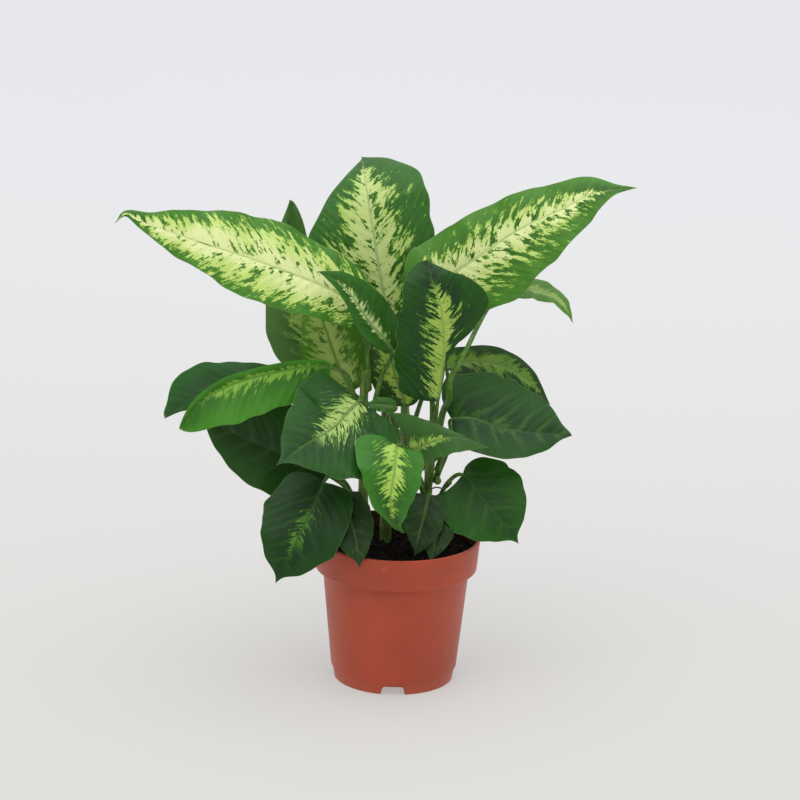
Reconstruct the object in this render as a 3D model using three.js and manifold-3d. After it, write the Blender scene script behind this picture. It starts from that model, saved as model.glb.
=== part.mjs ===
// Potted dieffenbachia: four leafy shoots rooted in peat in a moulded plastic nursery pot.
// Millimetres, +Z up. The origin is the centre of the pot's foot, on the surface it stands on.

import * as THREE from 'three';
import { LoftGeometry } from 'three/addons/geometries/LoftGeometry.js';
import { mergeVertices } from 'three/addons/utils/BufferGeometryUtils.js';
import Module from 'manifold-3d';

// ---------------------------------------------------------------- driving dimensions

const GAP = 0.3;                 // clearance that touching pieces keep

// pot
const RIM_R = 60;                // outside of the rim at the top
const RIM_SKIRT_R = 58;          // outside of the rim at its lower corner
const POT_H = 106;
const SKIRT_Z = 83;              // lower corner of the rim
const NECK_R = 52.3;             // body just under the rim
const NECK_Z = 79;
const BODY_FOOT_R = 45.3;        // body where it meets the foot band
const FOOT_Z = 8.5;              // height of the foot band
const FOOT_R = 44.2;
const SOLE_R = 43;
const WALL = 1.3;
const FLOOR_Z = 3.4;             // underside of the raised floor
const PAD_R = 13;                // central pad that reaches the ground
const SIDES = 48;                // facets round the pot and the peat
const SLOTS = 4;                 // drain slots round the foot
const SLOT_W = 18;
const SLOT_TOP_W = 15;
const SLOT_H = 6.6;
const HOLE_R = 4;                // round drain holes in the floor
const HOLE_RING_R = 27;

// soil
const SOIL_Z = 95;               // peat against the wall
const SOIL_CROWN = 3;            // how much higher it is in the middle

// leaves
const BLADE = 1.1;               // blade thickness beside the midrib
const MARGIN = 0.55;             // share of that thickness half-way to the margin
const SHEATH_R = 2.3;            // petiole at the stem
const NECK_PETIOLE_R = 1.35;     // petiole where the blade begins
const TIP_R = 0.28;
const PETIOLE_GAP = 0.45;        // petiole to the stem it clasps
const CLASP = 7;                 // length of petiole that runs up along the stem
const CLASP_LEAN = 1.4;          // how far it leans away over that length
const PETIOLE_RINGS = 6;
const BLADE_ROWS = 11;

const GREEN = 0x2e6b2a;
const DARK_GREEN = 0x1f4a22;
const PALE_GREEN = 0x8fb060;
const STEM_GREEN = 0x5f8a3a;

// Each stem: its route from the peat up, and its radius at the foot and at the top.
const STEMS = {
  stem_back: { route: [[-8, 14, 62], [-8, 13, 100], [-9, 12, 150], [-10, 11, 200], [-11, 9, 240]],
    radius: [4.4, 3.2] },
  stem_right: { route: [[18, -2, 62], [18, -2, 100], [21, -3, 140], [23, -4, 170], [24, -4, 188]],
    radius: [3.5, 3.0] },
  stem_left: { route: [[-22, -4, 62], [-23, -5, 100], [-25, -6, 150], [-26, -6, 200], [-25, -5, 226]],
    radius: [3.8, 3.0] },
  stem_rear: { route: [[6, 34, 62], [6, 34, 100], [5, 33, 150], [3, 31, 206]],
    radius: [4.0, 3.0] },
};

// Each leaf: the stem and height where its petiole clasps, the petiole's way from there, and the
// midrib from the base of the blade to the tip. face is the way the upper side looks at the base
// and at the tip; wide, belly and fold are given for the left and right halves, seen from that
// side with the tip up: half width, place of greatest width along the blade, and the angle in
// degrees that the half rises towards the upper side. start is the width of the base margin as a
// share of wide, rise how square the shoulder below the belly is, taper how pointed the blade is
// above it, lobe how far the base lobes reach back as shares of the length, curl how much the
// margins bend back, wave the height and number of the ripples in the margin, and drip the share
// of the width that is lost where a blunt blade runs out into a drip tip.
const LEAF_DEFAULTS = {
  fold: [8, 8], start: [0.25, 0.25], rise: [0.5, 0.5], taper: [1.1, 1.1],
  lobe: [0.03, 0.03], curl: 0.12, wave: [0.8, 3], drip: 0, color: GREEN,
};
const LEAVES = [
  // crown and high leaves
  { name: 'leaf_crown', stem: 'stem_back', at: 232, petiole: [[-10, 4, 250]], midrib: [[-10, 6, 261],
    [-18, 7, 304], [-25, 14, 341], [-29, 27, 360], [-31, 44, 367], [-32, 62, 368]],
    face: [[0, -1, 0.1], [-0.15, -0.3, 1]], wide: [52, 43], belly: [0.36, 0.6], taper: [2.2, 1],
    fold: [4, 6] },
  { name: 'leaf_west', stem: 'stem_left', at: 214, petiole: [[-24, -8, 245]], midrib: [[-24, -14, 268],
    [-44, -22, 287], [-72, -32, 302], [-106, -42, 316], [-140, -51, 329], [-172, -58, 341],
    [-188, -61, 349], [-196, -62, 343]], face: [[0.2, -0.8, 0.6], [0, -0.8, 0.6]], wide: [29, 34],
    belly: [0.45, 0.42], rise: [0.8, 0.6], taper: [1.5, 1.3], fold: [4, 4], wave: [2.2, 5],
    color: PALE_GREEN },
  { name: 'leaf_east', stem: 'stem_right', at: 166, petiole: [[23, 9, 200], [20, 8, 226], [20, 1, 252]],
    midrib: [[20, -8, 287], [32, -8, 299], [52, -9, 314], [72, -9, 329], [90, -9, 340], [109, -8, 349],
    [130, -6, 360], [160, -2, 364]], face: [[-0.1, -1, 0.25], [-0.05, -0.75, 0.65]], wide: [30, 38],
    belly: [0.15, 0.3], start: [0.95, 0.3], taper: [0.75, 1.3], lobe: [0.06, 0.03], fold: [4, 4],
    wave: [1.6, 4.5], drip: 0.5 },
  { name: 'leaf_mast', stem: 'stem_right', at: 150, petiole: [[24, -16, 176], [25, -24, 198]],
    midrib: [[26, -32, 214], [29, -38, 239], [29, -44, 263], [26, -49, 287], [20, -48, 305],
    [16, -40, 318]], face: [[0, -1, 0.2], [0, -0.9, 0.5]], wide: [34, 32], belly: [0.38, 0.66],
    start: [0.55, 0.04], rise: [0.5, 10], taper: [0.45, 1.25], fold: [8, 8], color: DARK_GREEN },
  { name: 'leaf_young', stem: 'stem_left', at: 190, petiole: [[-14, -14, 226]], midrib: [[-7, -20, 247],
    [-22, -30, 269], [-33, -37, 287], [-43, -41, 299], [-52, -42, 305], [-59, -41, 308]],
    face: [[0.3, -0.9, 0.3], [0.2, -0.9, 0.4]], wide: [10, 19], belly: [0.4, 0.4], fold: [16, 16],
    wave: [0.3, 2] },
  { name: 'leaf_flag', stem: 'stem_back', at: 208, petiole: [[-22, 16, 219], [-38, 21, 220]],
    midrib: [[-51, 24, 223], [-62, 30, 249], [-71, 35, 277], [-78, 38, 309], [-82, 36, 341]],
    face: [[0, -1, 0.1], [0, -1, 0.1]], wide: [34, 12], belly: [0.25, 0.5], start: [0.4, 0.3],
    taper: [1.2, 0.5], fold: [5, 5] },
  { name: 'leaf_veil', stem: 'stem_back', at: 178, petiole: [[-20, 8, 198]], midrib: [[-34, 8, 209],
    [-46, 13, 231], [-55, 16, 255], [-67, 17, 280], [-73, 15, 300]],
    face: [[0.2, -1, 0.1], [0, -1, 0.1]], wide: [26, 24], belly: [0.22, 0.3], start: [0.5, 0.5],
    taper: [2, 1.6], fold: [5, 5], color: PALE_GREEN },
  { name: 'leaf_far', stem: 'stem_right', at: 174, petiole: [[30, -15, 202], [34, -34, 218],
    [34, -46, 235], [40, -49, 248], [45, -48, 258], [50, -36, 266], [55, -20, 272], [60, -6, 277],
    [67, 1, 281]], midrib: [[75, 5, 285], [89, 10, 287], [107, 8, 282], [116, 5, 273], [120, 3, 265]],
    face: [[0.1, -0.5, 0.9], [0.5, -0.5, 0.8]], wide: [11, 10], belly: [0.35, 0.35] },
  { name: 'leaf_core', stem: 'stem_back', at: 152, petiole: [[-3, 1, 182]], midrib: [[3, -1, 202],
    [-3, -4, 222], [-9, -5, 246], [-13, -4, 264], [-15, -2, 272]], face: [[0, -1, 0.1], [0, -1, 0.2]],
    wide: [18, 17], belly: [0.35, 0.4], start: [0.1, 0.25] },

  // left side
  { name: 'leaf_left_high', stem: 'stem_left', at: 176, petiole: [[-40, 2, 208]],
    midrib: [[-62, 4, 221], [-92, 0, 222], [-119, -8, 218], [-144, -14, 209], [-165, -20, 194]],
    face: [[0, -0.7, 0.8], [-0.3, -0.7, 0.6]], wide: [17, 23], belly: [0.45, 0.72], start: [0.25, 0.1],
    rise: [0.5, 2.6], taper: [1.1, 0.5], wave: [1.2, 3], drip: 0.4 },
  { name: 'leaf_left_striped', stem: 'stem_left', at: 203, petiole: [[-38, -10, 226]],
    midrib: [[-49, -12, 232], [-64, -18, 234], [-84, -26, 232], [-106, -34, 228], [-125, -39, 221],
    [-140, -43, 211], [-153, -45, 194]], face: [[0, -0.9, 0.5], [-0.1, -0.9, 0.4]], wide: [26, 9],
    belly: [0.6, 0.6], taper: [0.55, 0.7], fold: [5, 55] },
  { name: 'leaf_left_low', stem: 'stem_left', at: 118, petiole: [[-36, -4, 140]],
    midrib: [[-49, -4, 150], [-70, -7, 161], [-91, -11, 171], [-112, -13, 180], [-138, -15, 192]],
    face: [[0, -1, 0.3], [-0.1, -1, 0.3]], wide: [31, 35], belly: [0.45, 0.4], taper: [0.95, 1.1],
    color: DARK_GREEN },
  { name: 'leaf_left_centre', stem: 'stem_left', at: 180, petiole: [[-28, -24, 212]],
    midrib: [[-29, -31, 213], [-37, -42, 207], [-46, -54, 200], [-66, -73, 192], [-83, -86, 182]],
    face: [[-0.1, -0.95, 0.35], [-0.1, -0.9, 0.45]], wide: [46, 39], belly: [0.36, 0.25],
    start: [0.5, 0.5], taper: [1.4, 1.1], lobe: [0.08, 0.08], wave: [2, 2.5], drip: 0.4,
    color: DARK_GREEN },
  { name: 'leaf_low_left', stem: 'stem_left', at: 124, petiole: [[-36, -18, 148], [-45, -27, 158]],
    midrib: [[-52, -34, 155], [-60, -47, 138], [-70, -57, 118], [-78, -60, 101], [-84, -58, 87]],
    face: [[-0.1, -0.8, 0.6], [-0.1, -1, 0]], wide: [30, 32], belly: [0.42, 0.4], start: [0.4, 0.4],
    lobe: [0.06, 0.06], drip: 0.55, color: DARK_GREEN },
  { name: 'leaf_low_left_inner', stem: 'stem_left', at: 106, petiole: [[-30, -20, 136]],
    midrib: [[-36, -26, 146], [-33, -42, 133], [-28, -54, 117], [-25, -62, 101]],
    face: [[0, -0.8, 0.6], [0, -1, 0.2]], wide: [15, 16], belly: [0.45, 0.45], drip: 0.4,
    color: DARK_GREEN },

  // front and right side
  { name: 'leaf_front', stem: 'stem_right', at: 132, petiole: [[14, -25, 157], [7, -47, 179],
    [4, -56, 188]], midrib: [[-1, -62, 191], [-2, -71, 185], [-3, -79, 175], [-5, -83, 160],
    [-4, -82, 149], [-1, -77, 137], [5, -75, 132]], face: [[0, -0.95, 0.3], [0, -1, 0.1]],
    wide: [20, 29], belly: [0.25, 0.12], start: [0.5, 0.9], taper: [1.0, 1.9], lobe: [0.0, 0.12] },
  { name: 'leaf_front_small', stem: 'stem_right', at: 142, petiole: [[8, -14, 168], [7, -25, 182]],
    midrib: [[8, -36, 180], [15, -43, 185], [26, -47, 191], [39, -48, 194], [50, -48, 192],
    [62, -47, 187]], face: [[-0.1, -1, 0.16], [0, -0.8, 0.6]], wide: [31, 12], belly: [0.04, 0.5],
    start: [0.95, 0.25], taper: [4.2, 1], lobe: [0.1, 0.05] },
  { name: 'leaf_right_broad', stem: 'stem_right', at: 156, petiole: [[36, -10, 184]],
    midrib: [[36, -15, 197], [50, -19, 200], [66, -22, 196], [84, -25, 193], [103, -26, 192],
    [121, -26, 191]], face: [[-0.1, -0.8, 0.6], [0.1, -0.8, 0.6]], wide: [36, 24], belly: [0.42, 0.4],
    start: [0.85, 0.4], taper: [0.8, 1.0], lobe: [0.1, 0.04], drip: 0.35, color: DARK_GREEN },
  { name: 'leaf_right_back', stem: 'stem_right', at: 146, petiole: [[38, 6, 180], [38, 11, 206]],
    midrib: [[33, 11, 227], [49, 14, 232], [69, 18, 229], [88, 20, 220], [107, 17, 201]],
    face: [[-0.1, -0.7, 0.7], [0.3, -0.8, 0.5]], wide: [13, 20], belly: [0.4, 0.4], start: [0.75, 0.5],
    lobe: [0.1, 0.05] },
  { name: 'leaf_right_low', stem: 'stem_right', at: 120, petiole: [[34, -6, 146]],
    midrib: [[45, -12, 156], [58, -22, 144], [72, -30, 130], [86, -34, 113]],
    face: [[0.1, -0.9, 0.4], [0.2, -1, 0.2]], wide: [31, 31], belly: [0.42, 0.42], start: [0.3, 0.4],
    lobe: [0.06, 0.06], drip: 0.55, color: DARK_GREEN },
  { name: 'leaf_low_right', stem: 'stem_right', at: 106, petiole: [[20, -17, 134]],
    midrib: [[22, -26, 145], [19, -37, 133], [15, -43, 118], [13, -45, 106]],
    face: [[0, -0.8, 0.6], [0, -1, 0.1]], wide: [15, 16], belly: [0.4, 0.35], start: [0.3, 0.3],
    taper: [0.8, 1.6], color: DARK_GREEN },
  { name: 'leaf_low_right_inner', stem: 'stem_right', at: 101, petiole: [[31, -12, 130]],
    midrib: [[32, -20, 137], [29, -34, 121], [24, -47, 102]],
    face: [[0, -0.8, 0.6], [0, -1, 0.2]], wide: [11, 11], belly: [0.45, 0.45], color: DARK_GREEN },
  { name: 'leaf_bract', stem: 'stem_back', at: 186, petiole: [[-6, -10, 200]],
    midrib: [[-3, -22, 207], [-14, -24, 209], [-25, -24, 209]],
    face: [[0, -0.9, 0.5], [0, -0.9, 0.5]], wide: [5, 6], belly: [0.4, 0.4] },

  // rear
  { name: 'leaf_rear_high', stem: 'stem_rear', at: 194, petiole: [[2, 46, 222]],
    midrib: [[2, 56, 236], [0, 76, 252], [-4, 98, 262], [-8, 122, 258], [-10, 140, 244]],
    face: [[0, -0.4, 1], [0, 0.4, 1]], wide: [30, 30], belly: [0.4, 0.4] },
  { name: 'leaf_rear_west', stem: 'stem_rear', at: 166, petiole: [[-14, 46, 198]],
    midrib: [[-24, 58, 226], [-44, 72, 236], [-64, 86, 240], [-82, 98, 230]],
    face: [[0, 0.2, 1], [-0.4, 0.5, 0.8]], wide: [27, 27], belly: [0.4, 0.4] },
  { name: 'leaf_rear_east', stem: 'stem_rear', at: 170, petiole: [[18, 44, 202]],
    midrib: [[28, 54, 214], [46, 66, 220], [66, 80, 218], [84, 92, 204]],
    face: [[0, 0.2, 1], [0.4, 0.5, 0.8]], wide: [28, 28], belly: [0.4, 0.4] },
  { name: 'leaf_rear_tall', stem: 'stem_back', at: 222, petiole: [[-7, 22, 244]],
    midrib: [[-5, 30, 254], [-3, 44, 284], [2, 64, 308], [6, 86, 319], [8, 104, 317]],
    face: [[0, 0.9, 0.5], [0, 0.3, 1]], wide: [21, 21], belly: [0.4, 0.4], color: DARK_GREEN },
  { name: 'leaf_rear_left', stem: 'stem_rear', at: 197, petiole: [[-10, 40, 222]],
    midrib: [[-24, 48, 244], [-46, 60, 260], [-70, 74, 268], [-92, 86, 264]],
    face: [[0.2, 0.3, 1], [-0.3, 0.5, 0.9]], wide: [22, 22], belly: [0.42, 0.42], color: DARK_GREEN },
  { name: 'leaf_rear_right', stem: 'stem_back', at: 214, petiole: [[8, 16, 232], [24, 22, 238]],
    midrib: [[36, 28, 240], [52, 46, 260], [71, 63, 273], [89, 78, 275]],
    face: [[-0.2, 0.3, 1], [0.3, 0.5, 0.9]], wide: [20, 20], belly: [0.42, 0.42], color: DARK_GREEN },
  { name: 'leaf_rear_low_west', stem: 'stem_rear', at: 136, petiole: [[-14, 48, 168]],
    midrib: [[-30, 60, 178], [-44, 72, 172], [-58, 84, 156], [-66, 92, 136]],
    face: [[-0.2, 0.6, 0.8], [-0.5, 0.8, 0.2]], wide: [27, 27], belly: [0.4, 0.4] },
  { name: 'leaf_rear_low', stem: 'stem_rear', at: 126, petiole: [[8, 54, 156]],
    midrib: [[10, 66, 164], [12, 80, 158], [13, 92, 142], [13, 98, 120]],
    face: [[0, 0.6, 0.8], [0, 1, 0.2]], wide: [27, 27], belly: [0.4, 0.4] },
  { name: 'leaf_rear_low_east', stem: 'stem_rear', at: 103, petiole: [[28, 44, 121], [40, 48, 125]],
    midrib: [[50, 54, 127], [61, 61, 123], [72, 67, 111], [78, 70, 97]],
    face: [[0.3, 0.5, 0.8], [0.7, 0.7, 0.2]], wide: [19, 19], belly: [0.4, 0.4] },
];

// The newest leaf, still rolled into a spear at the top of the back stem.
const ROLLED_LEAF = { name: 'leaf_rolled', radius: 2.4,
  route: [[-11.5, 9, 241], [-16, 3, 250], [-21, -1, 262], [-27, 0, 280], [-36, 0, 301], [-46, -1, 318]] };

// ---------------------------------------------------------------- helpers

const vec = (p) => new THREE.Vector3(p[0], p[1], p[2]);
const curveThrough = (points) => new THREE.CatmullRomCurve3(points, false, 'catmullrom', 0.5);
const radians = THREE.MathUtils.degToRad;

function finish(geometry) {
  const bare = new THREE.BufferGeometry().setIndex(geometry.index);
  bare.setAttribute('position', geometry.attributes.position);
  const merged = mergeVertices(bare, 1e-4);
  merged.computeVertexNormals();
  return merged;
}

const group = new THREE.Group();

function addPiece(name, geometry, color, roughness) {
  const material = new THREE.MeshStandardMaterial({ color, roughness, metalness: 0 });
  const mesh = new THREE.Mesh(geometry, material);
  mesh.name = name;
  group.add(mesh);
}

// ---------------------------------------------------------------- booleans

const wasm = await Module();
wasm.setup();

function toSolid(geometry) {
  const merged = finish(geometry);
  return new wasm.Manifold(new wasm.Mesh({
    numProp: 3,
    vertProperties: new Float32Array(merged.attributes.position.array),
    triVerts: new Uint32Array(merged.index.array),
  }));
}

function toGeometry(solid) {
  const mesh = solid.getMesh();
  const geometry = new THREE.BufferGeometry();
  geometry.setAttribute('position', new THREE.BufferAttribute(mesh.vertProperties, 3));
  geometry.setIndex(new THREE.BufferAttribute(mesh.triVerts, 1));
  geometry.computeVertexNormals();
  return geometry;
}

const lathe = (profile, sides) =>
  new THREE.LatheGeometry(profile.map(([r, z]) => new THREE.Vector2(r, z)), sides)
    .rotateX(Math.PI / 2);

// ---------------------------------------------------------------- pot

function buildPot() {
  const inside = FLOOR_Z + WALL;
  const profile = [
    [0, 0], [PAD_R, 0], [PAD_R + 1, FLOOR_Z], [SOLE_R - 3.5, FLOOR_Z], [SOLE_R - 2.5, 0],
    [SOLE_R, 0], [FOOT_R, FOOT_Z], [BODY_FOOT_R, FOOT_Z + 0.6],
    [NECK_R, NECK_Z], [RIM_SKIRT_R, SKIRT_Z], [RIM_R, POT_H - 1], [RIM_R - 0.6, POT_H],
    [RIM_R - WALL - 0.6, POT_H], [RIM_R - WALL - 1, POT_H - 1],
    [RIM_SKIRT_R - WALL - 0.5, SKIRT_Z + 2], [NECK_R - WALL, NECK_Z],
    [BODY_FOOT_R - WALL, inside + 4], [SOLE_R - WALL - 1, inside], [0, inside],
  ];
  let pot = toSolid(lathe(profile, SIDES));
  const slot = new THREE.Shape([[-SLOT_W / 2, -1], [SLOT_W / 2, -1], [SLOT_TOP_W / 2, SLOT_H - 1.5],
    [SLOT_TOP_W / 2 - 1.5, SLOT_H], [1.5 - SLOT_TOP_W / 2, SLOT_H], [-SLOT_TOP_W / 2, SLOT_H - 1.5]]
    .map(([x, y]) => new THREE.Vector2(x, y)));
  for (let i = 0; i < SLOTS; i++) {
    const turn = (i / SLOTS) * 2 * Math.PI;
    const cutter = new THREE.ExtrudeGeometry(slot, { depth: 14, bevelEnabled: false })
      .rotateX(Math.PI / 2).translate(0, -36, 0).rotateZ(turn);
    pot = pot.subtract(toSolid(cutter));
    const hole = new THREE.CylinderGeometry(HOLE_R, HOLE_R, 12, 16)
      .rotateX(Math.PI / 2).translate(0, -HOLE_RING_R, 4).rotateZ(turn + Math.PI / SLOTS);
    pot = pot.subtract(toSolid(hole));
  }
  return toGeometry(pot);
}

addPiece('pot', buildPot(), 0xa14735, 0.42);

// ---------------------------------------------------------------- stems

function stemCurve(name) {
  return curveThrough(STEMS[name].route.map(vec));
}

// Axis point, direction and radius of a stem at a height.
function stemAt(name, z) {
  const curve = stemCurve(name);
  const { route, radius } = STEMS[name];
  let low = 0, high = 1;
  for (let i = 0; i < 30; i++) {
    const mid = (low + high) / 2;
    if (curve.getPoint(mid).z < z) low = mid; else high = mid;
  }
  const share = (z - route[0][2]) / (route.at(-1)[2] - route[0][2]);
  return { point: curve.getPoint(low), along: curve.getTangent(low),
    radius: THREE.MathUtils.lerp(radius[0], radius[1], share) };
}

function ring(centre, side, face, radius, count) {
  const points = [];
  for (let i = 0; i < count; i++) {
    const angle = Math.PI - (i / count) * 2 * Math.PI;
    points.push(centre.clone().addScaledVector(side, radius * Math.cos(angle))
      .addScaledVector(face, radius * Math.sin(angle)));
  }
  return points;
}

function buildStem(name, extra = 0) {
  const { route } = STEMS[name];
  const steps = 12;
  const sections = [];
  for (let i = 0; i <= steps; i++) {
    const z = THREE.MathUtils.lerp(route[0][2] - extra, route.at(-1)[2], i / steps);
    const here = stemAt(name, Math.max(z, route[0][2]));
    here.point.z = z;
    const swell = i % 3 === 2 ? 0.25 : 0;
    sections.push(ring(here.point, new THREE.Vector3(1, 0, 0), new THREE.Vector3(0, 1, 0),
      here.radius + swell + extra, 10));
  }
  return new LoftGeometry(sections.reverse(), { capStart: true, capEnd: true });
}

for (const name of Object.keys(STEMS)) addPiece(name, finish(buildStem(name)), STEM_GREEN, 0.45);

// ---------------------------------------------------------------- soil

function buildSoil() {
  const inside = FLOOR_Z + WALL + GAP;
  const wall = WALL + 1.5 * GAP;
  const profile = [
    [0, inside], [SOLE_R - wall - 1.3, inside], [BODY_FOOT_R - wall - 0.2, inside + 4.2],
    [NECK_R - wall, NECK_Z - 0.1], [RIM_SKIRT_R - wall - 0.9, SKIRT_Z + 2],
    [RIM_SKIRT_R - wall - 0.2, SOIL_Z],
    [40, SOIL_Z + 0.6 * SOIL_CROWN], [18, SOIL_Z + SOIL_CROWN], [0, SOIL_Z + SOIL_CROWN],
  ];
  let soil = toSolid(lathe(profile, SIDES));
  for (const name of Object.keys(STEMS)) soil = soil.subtract(toSolid(buildStem(name, GAP)));
  return toGeometry(soil);
}

addPiece('soil', buildSoil(), 0x2b211b, 0.95);

// ---------------------------------------------------------------- leaves

// Half width of a blade at a share of its length, on its left (0) or right (1) half.
function halfWidth(leaf, half, share) {
  const belly = leaf.belly[half];
  const start = leaf.start[half];
  if (share < belly) {
    const back = (belly - share) / belly;
    return leaf.wide[half] * (start + (1 - start) * Math.pow(1 - back * back, leaf.rise[half]));
  }
  const on = (share - belly) / (1 - belly);
  const drip = 1 - leaf.drip * THREE.MathUtils.smoothstep(share, 0.82, 0.95);
  return leaf.wide[half] * Math.pow(1 - Math.pow(on, 1.8), leaf.taper[half]) * drip;
}

// The petiole starts along its stem, on the side of the first point that it heads for.
function claspPoints({ stem, at, petiole }) {
  const heading = vec(petiole[0]);
  return [0, 1].map((step) => {
    const s = stemAt(stem, at + step * CLASP);
    const out = heading.clone().sub(s.point).setZ(0).normalize();
    return s.point.addScaledVector(out, s.radius + SHEATH_R + PETIOLE_GAP + step * CLASP_LEAN);
  });
}

// Length of the curve beyond the parameter from, and the parameter at a share of that length.
function measure(curve, from) {
  const samples = 80;
  const at = (i) => from + (1 - from) * i / samples;
  const lengths = [0];
  for (let i = 1; i <= samples; i++) {
    lengths.push(lengths[i - 1] + curve.getPoint(at(i - 1)).distanceTo(curve.getPoint(at(i))));
  }
  const length = lengths[samples];
  const station = (share) => {
    let i = 1;
    while (i < samples && lengths[i] < share * length) i++;
    const part = (share * length - lengths[i - 1]) / (lengths[i] - lengths[i - 1]);
    return Math.min(1, at(i - 1 + part));
  };
  return { length, station };
}

// Splits the quads of a blade's underside along the same diagonals as those of its upper side, so
// that the two thin faces stay parallel where the blade twists.
function matchDiagonals(geometry, firstRow, lastRow, columns) {
  const index = geometry.index;
  for (let row = firstRow; row < lastRow; row++) {
    for (let column = columns / 2; column < columns; column++) {
      const quad = 6 * (row * columns + column);
      const [a, b, d, , c] = [0, 1, 2, 3, 4].map((k) => index.getX(quad + k));
      [a, b, c, a, c, d].forEach((vertex, k) => index.setX(quad + k, vertex));
    }
  }
  return geometry;
}

function buildLeaf(leaf) {
  const { petiole, midrib, face, lobe, curl } = leaf;
  const fold = leaf.fold.map(radians);
  const [waveHeight, waveCount] = leaf.wave;
  const points = [...claspPoints(leaf), ...petiole.map(vec), ...midrib.map(vec)];
  const curve = curveThrough(points);
  const base = (points.length - midrib.length) / (points.length - 1);
  const { length, station } = measure(curve, base);

  // rows across the blade, closer together near the base and the tip
  const rows = [];
  for (let i = 0; i <= BLADE_ROWS; i++) {
    const share = 0.5 - 0.5 * Math.cos(Math.PI * (0.06 + 0.94 * i / BLADE_ROWS));
    const t = station(share);
    const along = curve.getTangent(t);
    const up = vec(face[0]).lerp(vec(face[1]), share);
    up.addScaledVector(along, -up.dot(along)).normalize();
    rows.push({ share, centre: curve.getPoint(t), along, up, side: along.clone().cross(up) });
  }

  const sections = [];
  // petiole rings, carried back from the blade's frame
  const up = rows[0].up.clone();
  for (let i = PETIOLE_RINGS - 1; i >= 0; i--) {
    const t = base * i / PETIOLE_RINGS;
    const along = curve.getTangent(t);
    up.addScaledVector(along, -up.dot(along)).normalize();
    const radius = THREE.MathUtils.lerp(SHEATH_R, NECK_PETIOLE_R, i / PETIOLE_RINGS);
    sections.unshift(ring(curve.getPoint(t), along.clone().cross(up), up, radius, 8));
  }
  for (const row of rows) {
    const { share, centre, along, up: lift, side } = row;
    const rib = THREE.MathUtils.lerp(NECK_PETIOLE_R, TIP_R, Math.pow(share, 0.6));
    const point = (k, offset) => {
      const half = k < 0 ? 0 : 1;
      const reach = Math.abs(k);
      const width = Math.max(TIP_R, halfWidth(leaf, half, share));
      const ripple = waveHeight * reach * reach * Math.sin(Math.PI * share)
        * Math.sin(2 * Math.PI * waveCount * share + half * 2);
      return centre.clone()
        .addScaledVector(side, k * width * Math.cos(fold[half]))
        .addScaledVector(lift, reach * width * (Math.sin(fold[half]) - curl * reach) + ripple + offset)
        .addScaledVector(along, -lobe[half] * length * Math.pow(1 - share, 4) * Math.pow(reach, 1.5));
    };
    const thick = BLADE * (1 - 0.5 * share);
    sections.push([
      point(-1, 0), point(-0.5, thick * MARGIN / 2), point(0, thick / 2), point(0.5, thick * MARGIN / 2),
      point(1, 0), point(0.5, -thick * MARGIN / 2), point(0, -thick / 2 - rib * 0.6),
      point(-0.5, -thick * MARGIN / 2),
    ]);
  }
  const skin = new LoftGeometry(sections, { capStart: true, capEnd: true });
  return matchDiagonals(skin, PETIOLE_RINGS, PETIOLE_RINGS + BLADE_ROWS, sections[0].length);
}

// The rolled leaf swells a little from its foot and then thins to a point.
function buildRolled({ route, radius }) {
  const curve = curveThrough(route.map(vec));
  const up = new THREE.Vector3(0, -1, 0.3);
  const sections = [];
  for (let i = 0; i <= 12; i++) {
    const share = i / 12;
    const along = curve.getTangent(share);
    up.addScaledVector(along, -up.dot(along)).normalize();
    const swell = radius * (0.45 + 0.55 * Math.sin(Math.PI * Math.min(1, 1.25 * share)));
    const girth = Math.max(TIP_R, share < 0.4 ? swell : radius * Math.pow(1 - share, 0.7) * 1.4);
    sections.push(ring(curve.getPoint(share), along.clone().cross(up), up, Math.min(girth, swell), 8));
  }
  return new LoftGeometry(sections, { capStart: true, capEnd: true });
}

addPiece(ROLLED_LEAF.name, finish(buildRolled(ROLLED_LEAF)), PALE_GREEN, 0.4);

for (const entry of LEAVES) {
  const leaf = { ...LEAF_DEFAULTS, ...entry };
  addPiece(leaf.name, finish(buildLeaf(leaf)), leaf.color, 0.4);
}

export default group;
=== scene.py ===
# A young dieffenbachia in its nursery pot: the pot, the peat, four leafy shoots and their leaves.
# Shapes are written in millimetres, as on a drawing, and become metres where a piece is finished.

import functools
import math
import random

import bmesh
import bpy
from mathutils import Matrix, Vector, noise


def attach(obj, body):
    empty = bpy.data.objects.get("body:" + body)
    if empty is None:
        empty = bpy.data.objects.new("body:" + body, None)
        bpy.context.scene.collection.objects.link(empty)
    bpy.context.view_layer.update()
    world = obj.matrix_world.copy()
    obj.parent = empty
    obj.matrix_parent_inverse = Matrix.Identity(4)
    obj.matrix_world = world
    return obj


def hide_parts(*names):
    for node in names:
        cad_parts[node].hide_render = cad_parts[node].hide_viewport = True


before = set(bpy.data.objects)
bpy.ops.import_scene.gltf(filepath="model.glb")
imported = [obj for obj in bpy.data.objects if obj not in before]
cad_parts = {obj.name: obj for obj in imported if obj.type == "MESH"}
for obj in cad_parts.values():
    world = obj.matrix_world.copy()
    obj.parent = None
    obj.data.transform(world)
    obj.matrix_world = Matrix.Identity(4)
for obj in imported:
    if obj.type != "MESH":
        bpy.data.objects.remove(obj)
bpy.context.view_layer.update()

# ---------------------------------------------------------------- pot
# The pot is drawn from one sheet of terracotta polypropylene. It has a raised floor on a foot ring and a
# central pad, four drain slots round the foot, a plain tapering body and a deep flared rim.

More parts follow.
